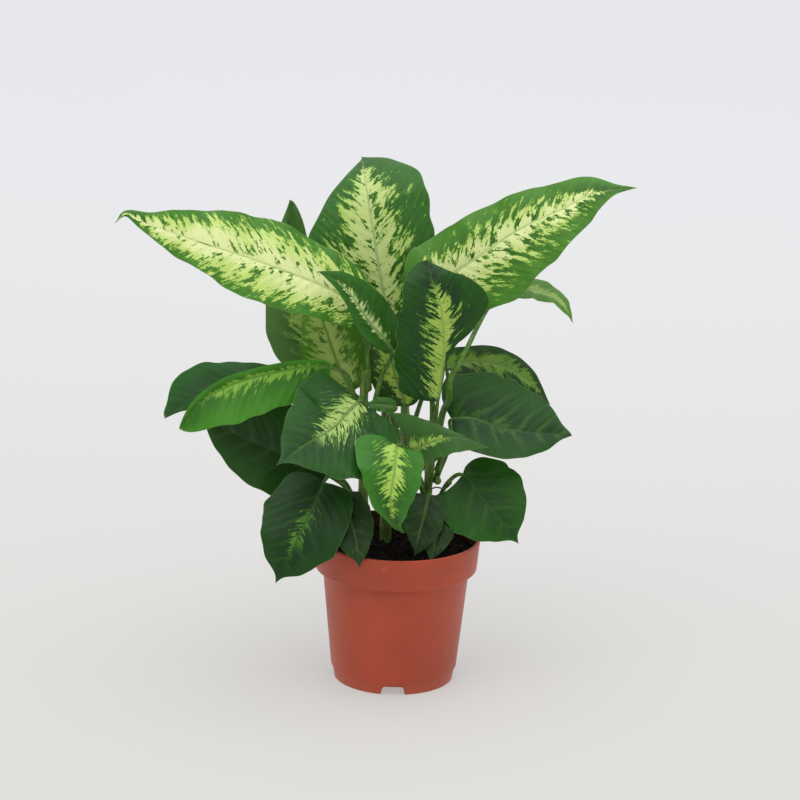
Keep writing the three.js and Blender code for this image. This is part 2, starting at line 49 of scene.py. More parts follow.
MM = 0.001
POT_PROFILE = [
    (0, 0), (13, 0), (14, 3.4), (39.5, 3.4), (40.5, 0), (43, 0), (44.2, 8.5), (45.3, 9.2),
    (52.3, 79), (58, 83), (60, 105), (59.4, 106), (58.1, 106), (57.7, 105), (56.2, 85), (51, 79),
    (44, 8.7), (40.7, 4.7), (0, 4.7),
]
POT_CORNER = 0.7
POT_STEPS = 144
SLOT_OUTLINE = [(-9, -1), (9, -1), (7.5, 5.1), (6, 6.6), (-6, 6.6), (-7.5, 5.1)]
SLOT_FROM, SLOT_TO = 36, 50
SLOTS = 4
HOLE_R, HOLE_RING_R, HOLE_DEPTH = 4, 27, 12
WORN_HEIGHT = (1 * MM, 14 * MM)
# The dark band on the inner wall above the peat is partly peat dust and partly painted shade of the leaves
# that hang over it.
DUST_AND_SHADE_RADIUS, DUST_AND_SHADE_HEIGHT = (58.1 * MM, 58.6 * MM), (85 * MM, 90 * MM)
TERRACOTTA = (182, 70, 36)
TERRACOTTA_DEEP = (170, 65, 34)
TERRACOTTA_PALE = (198, 108, 84)
PEAT_DUST_AND_SHADE = (44, 28, 20)


def srgb(red, green, blue):
    """A colour on the shader's own scale from one given in 0 to 255."""
    parts = (((c / 255 + 0.055) / 1.055) ** 2.4 if c > 10 else c / 3294 for c in (red, green, blue))
    return (*parts, 1)


class Number:
    """An output of a shader node: sums that are written on it become Math nodes."""

    def __init__(self, paint, socket):
        self.paint, self.socket = paint, socket

    def out(self, name):
        return Number(self.paint, self.socket.node.outputs[name])

    def __add__(self, other):
        return self.paint.sum("ADD", self, other)

    def __sub__(self, other):
        return self.paint.sum("SUBTRACT", self, other)

    def __rsub__(self, other):
        return self.paint.sum("SUBTRACT", other, self)

    def __mul__(self, other):
        return self.paint.sum("MULTIPLY", self, other)

    def __abs__(self):
        return self.paint.sum("ABSOLUTE", self)

    __radd__, __rmul__ = __add__, __mul__


class Paint:
    """A material, or the studio's surroundings, with one method that makes all its other nodes."""

    def __init__(self, owner, shader="Principled BSDF"):
        owner.use_nodes = True
        self.owner, self.tree = owner, owner.node_tree
        self.shader = self.tree.nodes[shader]

    def node(self, kind, settings=None, inputs=None):
        made = self.tree.nodes.new(kind)
        for key, value in (settings or {}).items():
            setattr(made, key, value)
        for key, value in (inputs or {}).items():
            named = [s for s in made.inputs if key in (s.identifier, s.name) and s.enabled]
            socket = made.inputs[key] if isinstance(key, int) else named[0]
            if isinstance(value, Number):
                self.tree.links.new(value.socket, socket)
            else:
                socket.default_value = value
        return Number(self, next(s for s in made.outputs if s.enabled))

    def sum(self, operation, *values):
        return self.node("ShaderNodeMath", {"operation": operation}, dict(enumerate(values)))

    def mix(self, factor, first, second):
        return self.node("ShaderNodeMix", {"data_type": "RGBA"}, {"Factor": factor, "A": first, "B": second})

    def step(self, value, low, high):
        """0 below low, 1 above high, and smooth between."""
        return self.node("ShaderNodeMapRange", {"interpolation_type": "SMOOTHSTEP"},
                         {"Value": value, "From Min": low, "From Max": high})

    def vector(self, x, y, z):
        return self.node("ShaderNodeCombineXYZ", None, {"X": x, "Y": y, "Z": z})

    def noise(self, place, scale, detail=2, rough=0.5):
        return self.node("ShaderNodeTexNoise", None,
                         {"Vector": place, "Scale": scale, "Detail": detail, "Roughness": rough})

    def split(self, place):
        """Its x, y and z as numbers."""
        parts = self.node("ShaderNodeSeparateXYZ", None, {0: place})
        return [parts.out(axis) for axis in "XYZ"]

    def object_place(self):
        return self.node("ShaderNodeTexCoord").out("Object")

    def uv_place(self, name):
        return self.node("ShaderNodeUVMap", {"uv_map": name})

    def set(self, name, value):
        if isinstance(value, Number):
            self.tree.links.new(value.socket, self.shader.inputs[name])
        else:
            self.shader.inputs[name].default_value = value

    def bump(self, height, distance, strength=1):
        self.set("Normal", self.node("ShaderNodeBump", None,
                                     {"Height": height, "Distance": distance, "Strength": strength}))


def stand(name, bm, materials=()):
    """Puts a drawn mesh in the scene as an object."""
    mesh = bpy.data.meshes.new(name)
    bm.to_mesh(mesh)
    bm.free()
    for material in materials:
        mesh.materials.append(material)
    made = bpy.data.objects.new(name, mesh)
    bpy.context.scene.collection.objects.link(made)
    return made


def piece(name, bm, materials, slot, *nodes, sharp=35):
    """Finishes a mesh drawn in millimetres as an object that stands for CAD nodes."""
    bmesh.ops.scale(bm, vec=(MM, MM, MM), verts=bm.verts)
    made = stand(name, bm, materials)
    made.data.shade_smooth()
    made.data.set_sharp_from_angle(angle=math.radians(sharp))
    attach(made, "root")
    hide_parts(*nodes)
    return made


def pot_paint():
    paint = Paint(bpy.data.materials.new("terracotta_plastic"))
    place = paint.object_place()
    cloud = paint.noise(place, 22, 3)
    grain = paint.noise(place, 420, 2)
    x, y, height = paint.split(place)
    tone = paint.mix(paint.step(cloud, 0.35, 0.7), srgb(*TERRACOTTA), srgb(*TERRACOTTA_DEEP))
    scuffs = paint.step(paint.noise(place, 95, 4, 0.7), 0.62, 0.78) * 0.35
    low_wear = (1 - paint.step(height, *WORN_HEIGHT)) * 0.35
    tone = paint.mix(scuffs + low_wear * cloud, tone, srgb(*TERRACOTTA_PALE))
    radius = paint.sum("SQRT", x * x + y * y)
    # Painted shade and peat dust: the inner wall above the peat is darkened almost to peat brown. Some of
    # this is peat dust, and the rest stands for the shade the leaves cast there.
    inner = (1 - paint.step(radius + cloud * 0.6 * MM, *DUST_AND_SHADE_RADIUS)) * paint.step(height, *DUST_AND_SHADE_HEIGHT)
    paint.set("Base Color", paint.mix(inner * 0.9, tone, srgb(*PEAT_DUST_AND_SHADE)))
    paint.set("Roughness", 0.36 + cloud * 0.14)
    paint.bump(grain, 0.00012, 0.35)
    return paint.owner


bm = bmesh.new()
profile = [bm.verts.new((r, 0, z)) for r, z in POT_PROFILE]
for first, second in zip(profile, profile[1:]):
    bm.edges.new((first, second))
bmesh.ops.bevel(bm, geom=profile[1:-1], offset=POT_CORNER, segments=3, profile=0.5, affect="VERTICES",
                material=-1, clamp_overlap=True)
bmesh.ops.spin(bm, geom=bm.verts[:] + bm.edges[:], cent=(0, 0, 0), axis=(0, 0, 1), dvec=(0, 0, 0),
               angle=2 * math.pi, steps=POT_STEPS, use_merge=True, use_duplicate=False)
bmesh.ops.remove_doubles(bm, verts=bm.verts, dist=0.01)
bmesh.ops.recalc_face_normals(bm, faces=bm.faces)
pot = piece("nursery_pot", bm, [pot_paint()], "pot_plastic", "pot")

cutters = []
for i in range(SLOTS):
    turn = Matrix.Rotation(i * 2 * math.pi / SLOTS, 4, "Z")
    slot = bmesh.new()
    outline = [slot.verts.new((x, -SLOT_FROM, z)) for x, z in SLOT_OUTLINE]
    drawn_out = bmesh.ops.extrude_face_region(slot, geom=[slot.faces.new(outline)])["geom"]
    bmesh.ops.translate(slot, vec=(0, SLOT_FROM - SLOT_TO, 0),
                        verts=[v for v in drawn_out if isinstance(v, bmesh.types.BMVert)])
    hole = bmesh.ops.create_cone(slot, cap_ends=True, segments=24, radius1=HOLE_R, radius2=HOLE_R,
                                 depth=HOLE_DEPTH)
    aside = Matrix.Rotation(math.pi / SLOTS, 4, "Z") @ Matrix.Translation((0, -HOLE_RING_R, 4))
    bmesh.ops.transform(slot, matrix=aside, verts=hole["verts"])
    bmesh.ops.transform(slot, matrix=Matrix.Scale(MM, 4) @ turn, verts=slot.verts)
    bmesh.ops.recalc_face_normals(slot, faces=slot.faces)
    cutters.append(stand(f"drain_{i}", slot))
    cut = pot.modifiers.new("drain", "BOOLEAN")
    cut.object, cut.operation, cut.solver = cutters[-1], "DIFFERENCE", "EXACT"
bpy.context.view_layer.update()
drained = bpy.data.meshes.new_from_object(pot.evaluated_get(bpy.context.evaluated_depsgraph_get()))
pot.modifiers.clear()
pot.data = drained
for loose in cutters:
    bpy.data.objects.remove(loose)

# ---------------------------------------------------------------- peat
# The pot is filled with dark milled peat, heaped a little round the shoots. Its crust is uneven and
# crumbly, with loose crumbs on it and rusty flecks of bark in it.

PEAT_TOP_R, PEAT_EDGE_Z, PEAT_HEAP, PEAT_TOP_SHARE = 56.0, 94.8, 2.6, 0.8
CRUMBS, CRUMB_SPREAD, CRUMB_SEED = 520, 54, 7
PEAT_WALL = [(56, 94.8), (54.9, 85.6), (50.2, 79.2), (43.2, 9.2), (39.6, 5.4), (0, 5.4)]
PEAT_BROWN = (27, 18, 12)
PEAT_BLACK = (7, 5, 4)
PEAT_RUST = (84, 55, 36)


def lerp(first, second, share):
    return first + (second - first) * share


def skin(bm, columns, rows, place, whole=None, flat=None, material=0):
    """A grid of faces laid over a surface: place(u, v) is a point of it, whole and flat its UV maps."""
    maps = [(bm.loops.layers.uv.get(name) or bm.loops.layers.uv.new(name), given)
            for name, given in (("whole", whole), ("flat", flat))]
    verts = bmesh.ops.create_grid(bm, x_segments=columns, y_segments=rows, size=0.5)["verts"]
    for face in {face for vert in verts for face in vert.link_faces}:
        face.material_index = material
        for loop in face.loops:
            u, v = loop.vert.co.x + 0.5, loop.vert.co.y + 0.5
            for layer, given in maps:
                loop[layer].uv = given(u, v) if given else (u, v)
    for vert in verts:
        vert.co = place(vert.co.x + 0.5, vert.co.y + 0.5)


def heaped(share):
    """Height of the crust at a share of the way out to the wall."""
    return PEAT_EDGE_Z + PEAT_HEAP * math.cos(0.5 * math.pi * share) ** 0.7


def peat_surface(u, v):
    """Centre of the crust, out to the wall, down it, and back to the middle of the floor."""
    top = PEAT_TOP_SHARE
    if v < top:
        radius = PEAT_TOP_R * v / top
        height = heaped(v / top)
    else:
        down = (v - top) / (1 - top) * (len(PEAT_WALL) - 1)
        i = min(int(down), len(PEAT_WALL) - 2)
        radius, height = (lerp(a, b, down - i) for a, b in zip(PEAT_WALL[i], PEAT_WALL[i + 1]))
    angle = -2 * math.pi * u
    point = Vector((radius * math.cos(angle), radius * math.sin(angle), height))
    if v < top:
        clods = noise.noise(point / 17) * 1.3 + abs(noise.noise(point / 5.5)) * 2.2
        crumbs = abs(noise.noise(point / 2.1 + Vector((9, 2, 4)))) * 1.5
        point.z += (clods + crumbs - 1.2) * min(1, (top - v) / 0.03)
    return point


def peat_paint():
    paint = Paint(bpy.data.materials.new("milled_peat"))
    place = paint.object_place()
    coarse = paint.noise(place, 210, 4, 0.7)
    fine = paint.noise(place, 900, 3, 0.7)
    tone = paint.mix(paint.step(coarse, 0.38, 0.66), srgb(*PEAT_BLACK), srgb(*PEAT_BROWN))
    flecks = paint.step(paint.noise(place, 520, 2, 0.6), 0.62, 0.7)
    paint.set("Base Color", paint.mix(flecks * 0.7, tone, srgb(*PEAT_RUST)))
    paint.set("Roughness", 0.86 + coarse * 0.14)
    paint.set("Specular IOR Level", 0.15)
    paint.bump(coarse + fine * 0.6, 0.0011, 0.9)
    return paint.owner


peat = peat_paint()
bm = bmesh.new()
skin(bm, 200, 100, peat_surface)
bmesh.ops.remove_doubles(bm, verts=bm.verts, dist=0.001)
chance = random.Random(CRUMB_SEED)
for _ in range(CRUMBS):
    radius = CRUMB_SPREAD * math.sqrt(chance.random())
    angle = 2 * math.pi * chance.random()
    size = 0.5 + 1.3 * chance.random() ** 3
    crumb = bmesh.ops.create_icosphere(bm, subdivisions=1, radius=size)["verts"]
    for vert in crumb:
        vert.co *= 1 + 0.5 * noise.noise(vert.co * 1.4 + Vector((radius, angle, size)) * 5)
    height = heaped(radius / PEAT_TOP_R) + 0.35 + 0.4 * size
    where = Matrix.Translation((radius * math.cos(angle), radius * math.sin(angle), height))
    flat = Matrix.Diagonal((1, 0.6 + 0.5 * chance.random(), 0.55, 1))
    bmesh.ops.transform(bm, matrix=where @ Matrix.Rotation(angle * 3, 4, "Z") @ flat, verts=crumb)
piece("peat_crust", bm, [peat], "peat", "soil", sharp=80)

# ---------------------------------------------------------------- shoots
# Each shoot is a round green cane, ringed where older leaves have dropped, and hidden near its top by the
# sheaths of the leaves that clasp it. The right one carries two round side buds on a thin stalk.

SHOOTS = {
    "stem_back": ([(-8, 14, 62), (-8, 13, 100), (-9, 12, 150), (-10, 11, 200), (-11, 9, 240)],
                  (4.4, 3.2)),
    "stem_right": ([(18, -2, 62), (18, -2, 100), (21, -3, 140), (23, -4, 170), (24, -4, 188)],
                   (3.5, 3.0)),
    "stem_left": ([(-22, -4, 62), (-23, -5, 100), (-25, -6, 150), (-26, -6, 200), (-25, -5, 226)],
                  (3.8, 3.0)),
    "stem_rear": ([(6, 34, 62), (6, 34, 100), (5, 33, 150), (3, 31, 206)], (4.0, 3.0)),
}
SHOWN_FROM, CAP_FROM, CAP_HEIGHT = 88, 0.97, 3
JOINT, JOINT_BULGE = 15.5, 0.45
BUDS = [(28, -6, 149, 2.7), (36.5, -8, 148.5, 1.8)]
BUD_STALK = [(21, -4, 141), (27, -7, 144.5), (33, -8, 144), (37, -8.2, 147)]
BUD_STALK_R = 0.55
CANE_GREEN = (124, 156, 66)
CANE_DEEP = (76, 112, 40)
CANE_SCAR = (134, 114, 64)


def route(points):
    """A smooth curve through points: its point and direction at a share of the way."""
    points = [Vector(p) for p in points]
    ends = [2 * points[0] - points[1], *points, 2 * points[-1] - points[-2]]
    last = len(points) - 1

    def at(t):
        t = min(max(t, 0), 1) * last
        i = min(int(t), last - 1)
        f = t - i
        before, start, stop, after = ends[i:i + 4]
        leave, arrive = (stop - before) / 2, (after - start) / 2
        point = ((2 * f**3 - 3 * f**2 + 1) * start + (f**3 - 2 * f**2 + f) * leave
                 + (3 * f**2 - 2 * f**3) * stop + (f**3 - f**2) * arrive)
        slope = ((6 * f**2 - 6 * f) * (start - stop) + (3 * f**2 - 4 * f + 1) * leave
                 + (3 * f**2 - 2 * f) * arrive)
        return point, slope.normalized()

    return at


def cane_at(name, z):
    """Axis point and radius of a shoot at a height."""
    points, (foot, top) = SHOOTS[name]
    at = route(points)
    low, high = 0, 1
    for _ in range(24):
        middle = (low + high) / 2
        if at(middle)[0].z < z:
            low = middle
        else:
            high = middle
    return at(low)[0], lerp(foot, top, (z - points[0][2]) / (points[-1][2] - points[0][2]))


def cane_paint():
    paint = Paint(bpy.data.materials.new("cane_skin"))
    x, y, z = paint.split(paint.object_place())
    streaks = paint.noise(paint.vector(x * 900, y * 900, z * 90), 1, 3)
    ringed = paint.sum("PINGPONG", z * (1 / MM) + streaks * 1.6, JOINT / 2)
    scar = (1 - paint.step(ringed, 0.25, 1.0)) * 0.75
    tone = paint.mix(paint.step(streaks, 0.4, 0.65), srgb(*CANE_DEEP), srgb(*CANE_GREEN))
    paint.set("Base Color", paint.mix(scar, tone, srgb(*CANE_SCAR)))
    paint.set("Roughness", 0.36 + streaks * 0.2)
    paint.bump(streaks, 0.0003, 0.5)
    return paint.owner


cane = cane_paint()
for name, (points, _) in SHOOTS.items():
    bm = bmesh.new()
    top = points[-1][2]

    def cane_surface(u, v, name=name, top=top):
        z = lerp(SHOWN_FROM, top, min(v / CAP_FROM, 1))
        centre, radius = cane_at(name, z)
        joint = abs((z + JOINT / 2) % JOINT - JOINT / 2)
        radius += JOINT_BULGE * math.exp(-(joint / 1.6) ** 2)
        radius += 0.15 * noise.noise(Vector((u * 5, z / 6, top)))
        cap = max(0, (v - CAP_FROM) / (1 - CAP_FROM))
        radius *= math.sqrt(max(0, 1 - cap**2))
        angle = 2 * math.pi * u
        return centre + Vector((math.cos(angle) * radius, math.sin(angle) * radius, CAP_HEIGHT * cap))

    skin(bm, 20, 110, cane_surface)
    bmesh.ops.remove_doubles(bm, verts=bm.verts, dist=0.001)
    if name == "stem_right":
        for x, y, z, size in BUDS:
            bud = bmesh.ops.create_uvsphere(bm, u_segments=16, v_segments=10, radius=size)["verts"]
            for vert in bud:
                vert.co.z += 0.35 * size * max(0, vert.co.z / size) ** 3
            bmesh.ops.translate(bm, vec=(x, y, z), verts=bud)
        stalk = route(BUD_STALK)

        def stalk_surface(u, v):
            centre, along = stalk(v)
            side = along.cross(Vector((0, -1, 0))).normalized()
            angle = 2 * math.pi * u
            radius = 0 if v in (0, 1) else BUD_STALK_R
            return centre + radius * (math.cos(angle) * side.cross(along) + math.sin(angle) * side)

        skin(bm, 10, 20, stalk_surface)
        bmesh.ops.remove_doubles(bm, verts=bm.verts, dist=0.0005)
    bmesh.ops.recalc_face_normals(bm, faces=bm.faces)
    piece(name.replace("stem", "shoot"), bm, [cane], "stem", name, sharp=70)

# ---------------------------------------------------------------- crown and high leaves
# A leaf is a thin waxy blade on a fleshy stalk that clasps its shoot and runs on as the midrib. The blades
# are green, with a cream and lime feathering that follows the side veins out from the midrib.

SHEATH_R, NECK_R, TIP_R = 2.3, 1.35, 0.28
CLASP_GAP, CLASP, CLASP_LEAN = 0.45, 7, 1.4
BLADE_COLUMNS, BLADE_ROWS = 34, 76
STALK_COLUMNS, PETIOLE_ROWS, RIB_ROWS = 12, 34, 30
ROUTE_MARKS = 160
BLADE_THICK, BLADE_SWELL, MARGIN_UNEVEN = 0.9, 0.9, 0.1
CHANNEL_DEEP, CHANNEL_WIDE = 0.4, 1.9
BASE_ROUNDED, DRIP_FROM, DRIP_TO = 0.07, 0.82, 0.95
VEIN_SPACING = 0.8
STALK_GREEN = (84, 130, 36)
STALK_DEEP = (54, 94, 22)
STALK_PALE = (150, 178, 98)
UNDERSIDE = (122, 146, 98)
MARGIN_LINE, DRY_TIP = (118, 146, 76), (150, 140, 84)

# Of a pair, the first is the blade's left half and the second its right one. wide is half the width in
# millimetres, reached at belly, a share of the length; start is the share of it at the stalk, rise and
# taper how full the blade is before and after the belly, lobe how far the base runs back; face is the
# upward direction at the stalk and at the tip; fold is in degrees; wave is a height and a count; drip is
# the width lost where the tip narrows.
LEAF = dict(fold=(8, 8), start=(0.25, 0.25), rise=(0.5, 0.5), taper=(1.1, 1.1), lobe=(0.03, 0.03), curl=0.12,
            wave=(0.8, 3), drip=0, slot="leaf_green")

# The feathering covers reach, a share of the half width, and fades in and out over length, four shares
# of the length. jag and mottle roughen its outline and slope sharpens it; fray opens green islands in it
# towards the margin and solid closes them; fringe is its lime edge, fine the scale of the flecks; slant is
# the side veins' lean; veins, broad, ribbed and tip are how strongly side veins, their pale bands, midrib
# and dry tip show.
LOOK = dict(green=(50, 92, 30), deep=(30, 62, 22), lime=(112, 158, 52), cream=(188, 210, 120),
            rib=(104, 140, 66), reach=(0, 0), length=(0.0, 0.12, 0.6, 0.95), fringe=0.16, jag=2.0,
            mottle=0.7, slope=1.0, slant=0.7, veins=0.1, ribbed=0.8, solid=0.6, bright=(150, 190, 70),
            fray=0.45, fine=1.0, tip=0.35, broad=0.1)


def half_width(leaf, half, share):
    """Half the width of a blade, on its left (0) or right (1) side, at a share of its length."""
    belly, start, wide = leaf["belly"][half], leaf["start"][half], leaf["wide"][half]
    if share < belly:
        back = (belly - share) / belly
        return wide * (start + (1 - start) * (1 - back * back) ** leaf["rise"][half])
    on = (share - belly) / (1 - belly)
    near = min(1, max(0, (share - DRIP_FROM) / (DRIP_TO - DRIP_FROM)))
    drip = 1 - leaf["drip"] * near * near * (3 - 2 * near)
    return wide * max(0, 1 - on ** 1.8) ** leaf["taper"][half] * drip


def leaf_frames(leaf):
    """The stalk's and the blade's centre lines, each as a list of (share, point, along, up)."""
    clasp = []
    for step in (0, 1):
        centre, radius = cane_at(leaf["stem"], leaf["at"] + CLASP * step)
        out = Vector(leaf["petiole"][0]) - centre
        out.z = 0
        clasp.append(centre + out.normalized() * (radius + SHEATH_R + CLASP_GAP + step * CLASP_LEAN))
    points = [*clasp, *leaf["petiole"], *leaf["midrib"]]
    at = route(points)
    base = (len(points) - len(leaf["midrib"])) / (len(points) - 1)
    marks = [base + (1 - base) * i / ROUTE_MARKS for i in range(ROUTE_MARKS + 1)]
    lengths = [0]
    for first, second in zip(marks, marks[1:]):
        lengths.append(lengths[-1] + (at(second)[0] - at(first)[0]).length)

    def station(share):
        i = 1
        gone = share * lengths[-1]
        while i < ROUTE_MARKS and lengths[i] < gone:
            i += 1
        return lerp(marks[i - 1], marks[i], (gone - lengths[i - 1]) / (lengths[i] - lengths[i - 1]))

    def blade_row(share):
        point, along = at(station(share))
        up = Vector(leaf["face"][0]).lerp(Vector(leaf["face"][1]), share)
        return share, point, along, (up - along * up.dot(along)).normalized()

    shares = []
    for i in range(BLADE_ROWS + 1):
        even = i / BLADE_ROWS
        shares.append(lerp(even, 0.5 - 0.5 * math.cos(math.pi * even), 0.6))
    blade = [blade_row(lerp(0.006, 1, share)) for share in shares]
    up = blade[0][3].copy()
    stalk = []
    for i in range(PETIOLE_ROWS - 1, -1, -1):
        point, along = at(base * i / PETIOLE_ROWS)
        up = (up - along * up.dot(along)).normalized()
        stalk.insert(0, (i / PETIOLE_ROWS - 1, point, along, up))
    stalk += [blade_row(lerp(0.002, 0.985, i / RIB_ROWS)) for i in range(RIB_ROWS + 1)]
    return lengths[-1], blade, stalk, out.normalized()


def across(u):
    """Columns crowd towards the midrib: -1 at the left margin, 1 at the right one."""
    return math.copysign(abs(2 * u - 1) ** 1.4, u - 0.5)


def blade_surface(leaf, length, rows, seed, side):
    """Upper (side 1) or under (side -1) surface of a blade, with its place on the flat map."""

    @functools.lru_cache(maxsize=None)
    def at(u, v):
        k = across(u if side > 0 else 1 - u)
        share, centre, along, up = rows[round(v * BLADE_ROWS)]
        half, reach = (0 if k < 0 else 1), abs(k)
        rounding = math.sqrt(max(0, 1 - max(0, 1 - (share - rows[0][0]) / BASE_ROUNDED) ** 2))
        uneven = MARGIN_UNEVEN * noise.noise(Vector((share * 8, half * 9, seed))) * min(1, 5 * (1 - share))
        width = max(TIP_R, half_width(leaf, half, share) * rounding * (1 + uneven))
        return k, share, centre, along, up, half, reach, rounding, width

    def place(u, v):
        k, share, centre, along, up, half, reach, rounding, width = at(u, v)
        fold = math.radians(leaf["fold"][half])
        height, count = leaf["wave"]
        turn = 2 * math.pi * count * share + half * 2
        waves = math.sin(turn) + 0.3 * math.sin(2.3 * turn + 1)
        ripple = height * reach**2 * math.sin(math.pi * share) * waves
        x, y = k * width, share * length
        swell = BLADE_SWELL * noise.noise(Vector((x / 19, y / 24, seed * 3.7))) * min(1, width / 14)
        channel = CHANNEL_DEEP * math.exp(-(x / CHANNEL_WIDE) ** 2) * (1 - share) ** 0.5 * rounding
        thick = 0.5 * BLADE_THICK * (1 - 0.5 * share) * (1 - reach**3) * rounding
        tilt = reach * width * (math.sin(fold) - leaf["curl"] * reach)
        lift = tilt + ripple + swell - channel + side * thick
        back = -leaf["lobe"][half] * length * (1 - share) ** 4 * reach**1.5 * rounding
        return centre + along.cross(up) * (k * width * math.cos(fold)) + up * lift + along * back

    def whole(u, v):
        k, share = at(u, v)[:2]
        return (k + 1) / 2, share

    def flat(u, v):
        k, share, *_, width = at(u, v)
        return k * width / 10, share * length / 10

    return place, whole, flat


def stalk_surface(out, rows, seed):
    """The stalk from the shoot to the blade, and the midrib that carries it on under the blade."""
    count = PETIOLE_ROWS + RIB_ROWS

    def place(u, v):
        i = round(v * count)
        share, centre, along, up = rows[i]
        side = along.cross(up)
        angle = 2 * math.pi * u
        if share < 0:
            radius = lerp(SHEATH_R, NECK_R, share + 1)
            sheath = max(0, -share - 0.45) / 0.55
            groove = 0.18 + 0.3 * sheath
            notch = math.exp(-((math.sin(angle) - 1) / 0.3) ** 2)
            radius *= 1 - groove * notch + 0.05 * noise.noise(Vector((angle, share * 9, seed)))
            wide = 1 + 0.22 * sheath
            drop = 0
        else:
            radius = lerp(NECK_R, TIP_R, share**0.6) * 0.8
            wide, drop = 1.1, min(1, share / 0.05) * (radius + 0.35)
        foot = min(1, i / 6)
        closing = math.sqrt(1 - (1 - foot) ** 2) if i < count else 0
        centre = centre - up * drop - out * (SHEATH_R + CLASP_GAP) * (1 - closing) * (i < 6)
        return centre + (side * math.cos(angle) * wide + up * math.sin(angle)) * radius * closing

    return place


def blade_paint(name, look, seed, under):
    paint = Paint(bpy.data.materials.new(name))
    over, share, _ = paint.split(paint.uv_place("whole"))
    aside, y, _ = paint.split(paint.uv_place("flat"))
    side = over * 2 - 1
    right = paint.step(side, -0.01, 0.01)
    reach, x = abs(side), abs(aside)

    # a line along which this stays the same runs out from the midrib as a side vein does
    vein = y - x * look["slant"] - x * x * 0.08 + right * 0.31
    fine = look["fine"]
    flecks = paint.noise(paint.vector(vein * 2.6 * fine, x * 1.1, right * 3 + seed), 1, 5, 0.62)
    patch = paint.noise(paint.vector(vein * 2.3 * fine, x * 1.4, right * 3 + seed + 60), 1, 4, 0.6)
    blotch = paint.noise(paint.vector(vein * 0.8, x * 0.6, right * 3 + seed + 20), 1, 2)
    speck = paint.noise(paint.vector(vein * 8, x * 5, right * 3 + seed + 40), 1, 3, 0.6)

    low, full, fading, gone = look["length"]
    window = paint.step(share, low, full) * (1 - paint.step(share, fading, gone))
    left_reach, right_reach = look["reach"]
    spread = (left_reach + right * (right_reach - left_reach)) * window
    present = paint.step(spread, 0.0, 0.1)
    ragged = (flecks - 0.5) * look["jag"] + (speck - 0.5) * look["mottle"] + (blotch - 0.5) * 0.5
    field = (spread - reach) * look["slope"] + ragged
    islands = (patch - 0.5) * 2.4 + (speck - 0.5) * 0.8 + (blotch - 0.5) * 0.8
    holes = islands + reach * look["fray"] - look["solid"]
    cream = paint.step(field, 0.0, 0.06) * (1 - paint.step(holes, 0.0, 0.05)) * present
    lime = paint.step(field + look["fringe"], 0.0, 0.08) * (1 - paint.step(holes, 0.08, 0.14)) * present

    heart = paint.step(reach + (blotch - 0.5) * 0.8, 0.1, 0.95)
    tone = paint.mix(heart, srgb(*look["deep"]), srgb(*look["green"]))
    tone = paint.mix(paint.step(speck, 0.4, 0.8) * 0.12, tone, srgb(*look["lime"]))
    tone = paint.mix(lime * (0.65 + speck * 0.4), tone, srgb(*look["lime"]))
    fresh = paint.step(reach * 0.8 + blotch - speck * 0.3, 0.42, 0.8) * 0.75
    tone = paint.mix(cream, tone, paint.mix(fresh, srgb(*look["cream"]), srgb(*look["bright"])))

    course = vein + (blotch - 0.5) * 0.9
    band = 1 - paint.step(paint.sum("PINGPONG", course, VEIN_SPACING), 0.0, 0.34)
    band = band * (1 - paint.step(reach, 0.1, 0.9)) * paint.step(speck, 0.2, 0.6)
    tone = paint.mix(band * look["broad"], tone, srgb(*look["lime"]))
    between = paint.sum("PINGPONG", course, VEIN_SPACING / 2)
    groove = 1 - paint.step(between, 0.0, 0.05)
    tone = paint.mix(groove * look["veins"] * (1 - reach * 0.6), tone, srgb(*look["rib"]))
    thick = 0.17 - share * 0.13
    rib = (1 - paint.step(x - thick, -0.07, 0.02)) * (1 - paint.step(share, 0.7, 1.0) * 0.8)
    tone = paint.mix(rib * look["ribbed"], tone, srgb(*look["rib"]))
    tone = paint.mix(paint.step(reach, 0.972, 0.999) * 0.35, tone, srgb(*MARGIN_LINE))
    tone = paint.mix(paint.step(share, 0.98, 0.995) * look["tip"], tone, srgb(*DRY_TIP))
    if under:
        tone = paint.mix(0.5, tone, srgb(*UNDERSIDE))
    paint.set("Base Color", tone)
    paint.set("Roughness", (0.5 if under else 0.36) + blotch * 0.2)
    paint.set("Specular IOR Level", 0.28)
    quilt = paint.step(between, 0.0, VEIN_SPACING / 2)
    paint.bump(quilt * (-0.8 if under else 0.5) + speck * 0.25 + blotch * 1.5, 0.0006, 0.6)
    return paint.owner


def stalk_paint():
    paint = Paint(bpy.data.materials.new("leaf_stalk"))
    place = paint.object_place()
    x, y, z = paint.split(place)
    streaks = paint.noise(paint.vector(x * 700, y * 700, z * 70), 1, 3)
    mottle = paint.noise(place, 260, 3, 0.6)
    tone = paint.mix(paint.step(streaks, 0.35, 0.65), srgb(*STALK_DEEP), srgb(*STALK_GREEN))
    tone = paint.mix(paint.step(mottle, 0.58, 0.68) * 0.5, tone, srgb(*STALK_PALE))
    paint.set("Base Color", tone)
    paint.set("Roughness", 0.34 + streaks * 0.16)
    paint.bump(streaks, 0.0002, 0.5)
    return paint.owner


stalk_skin = stalk_paint()
grown = []


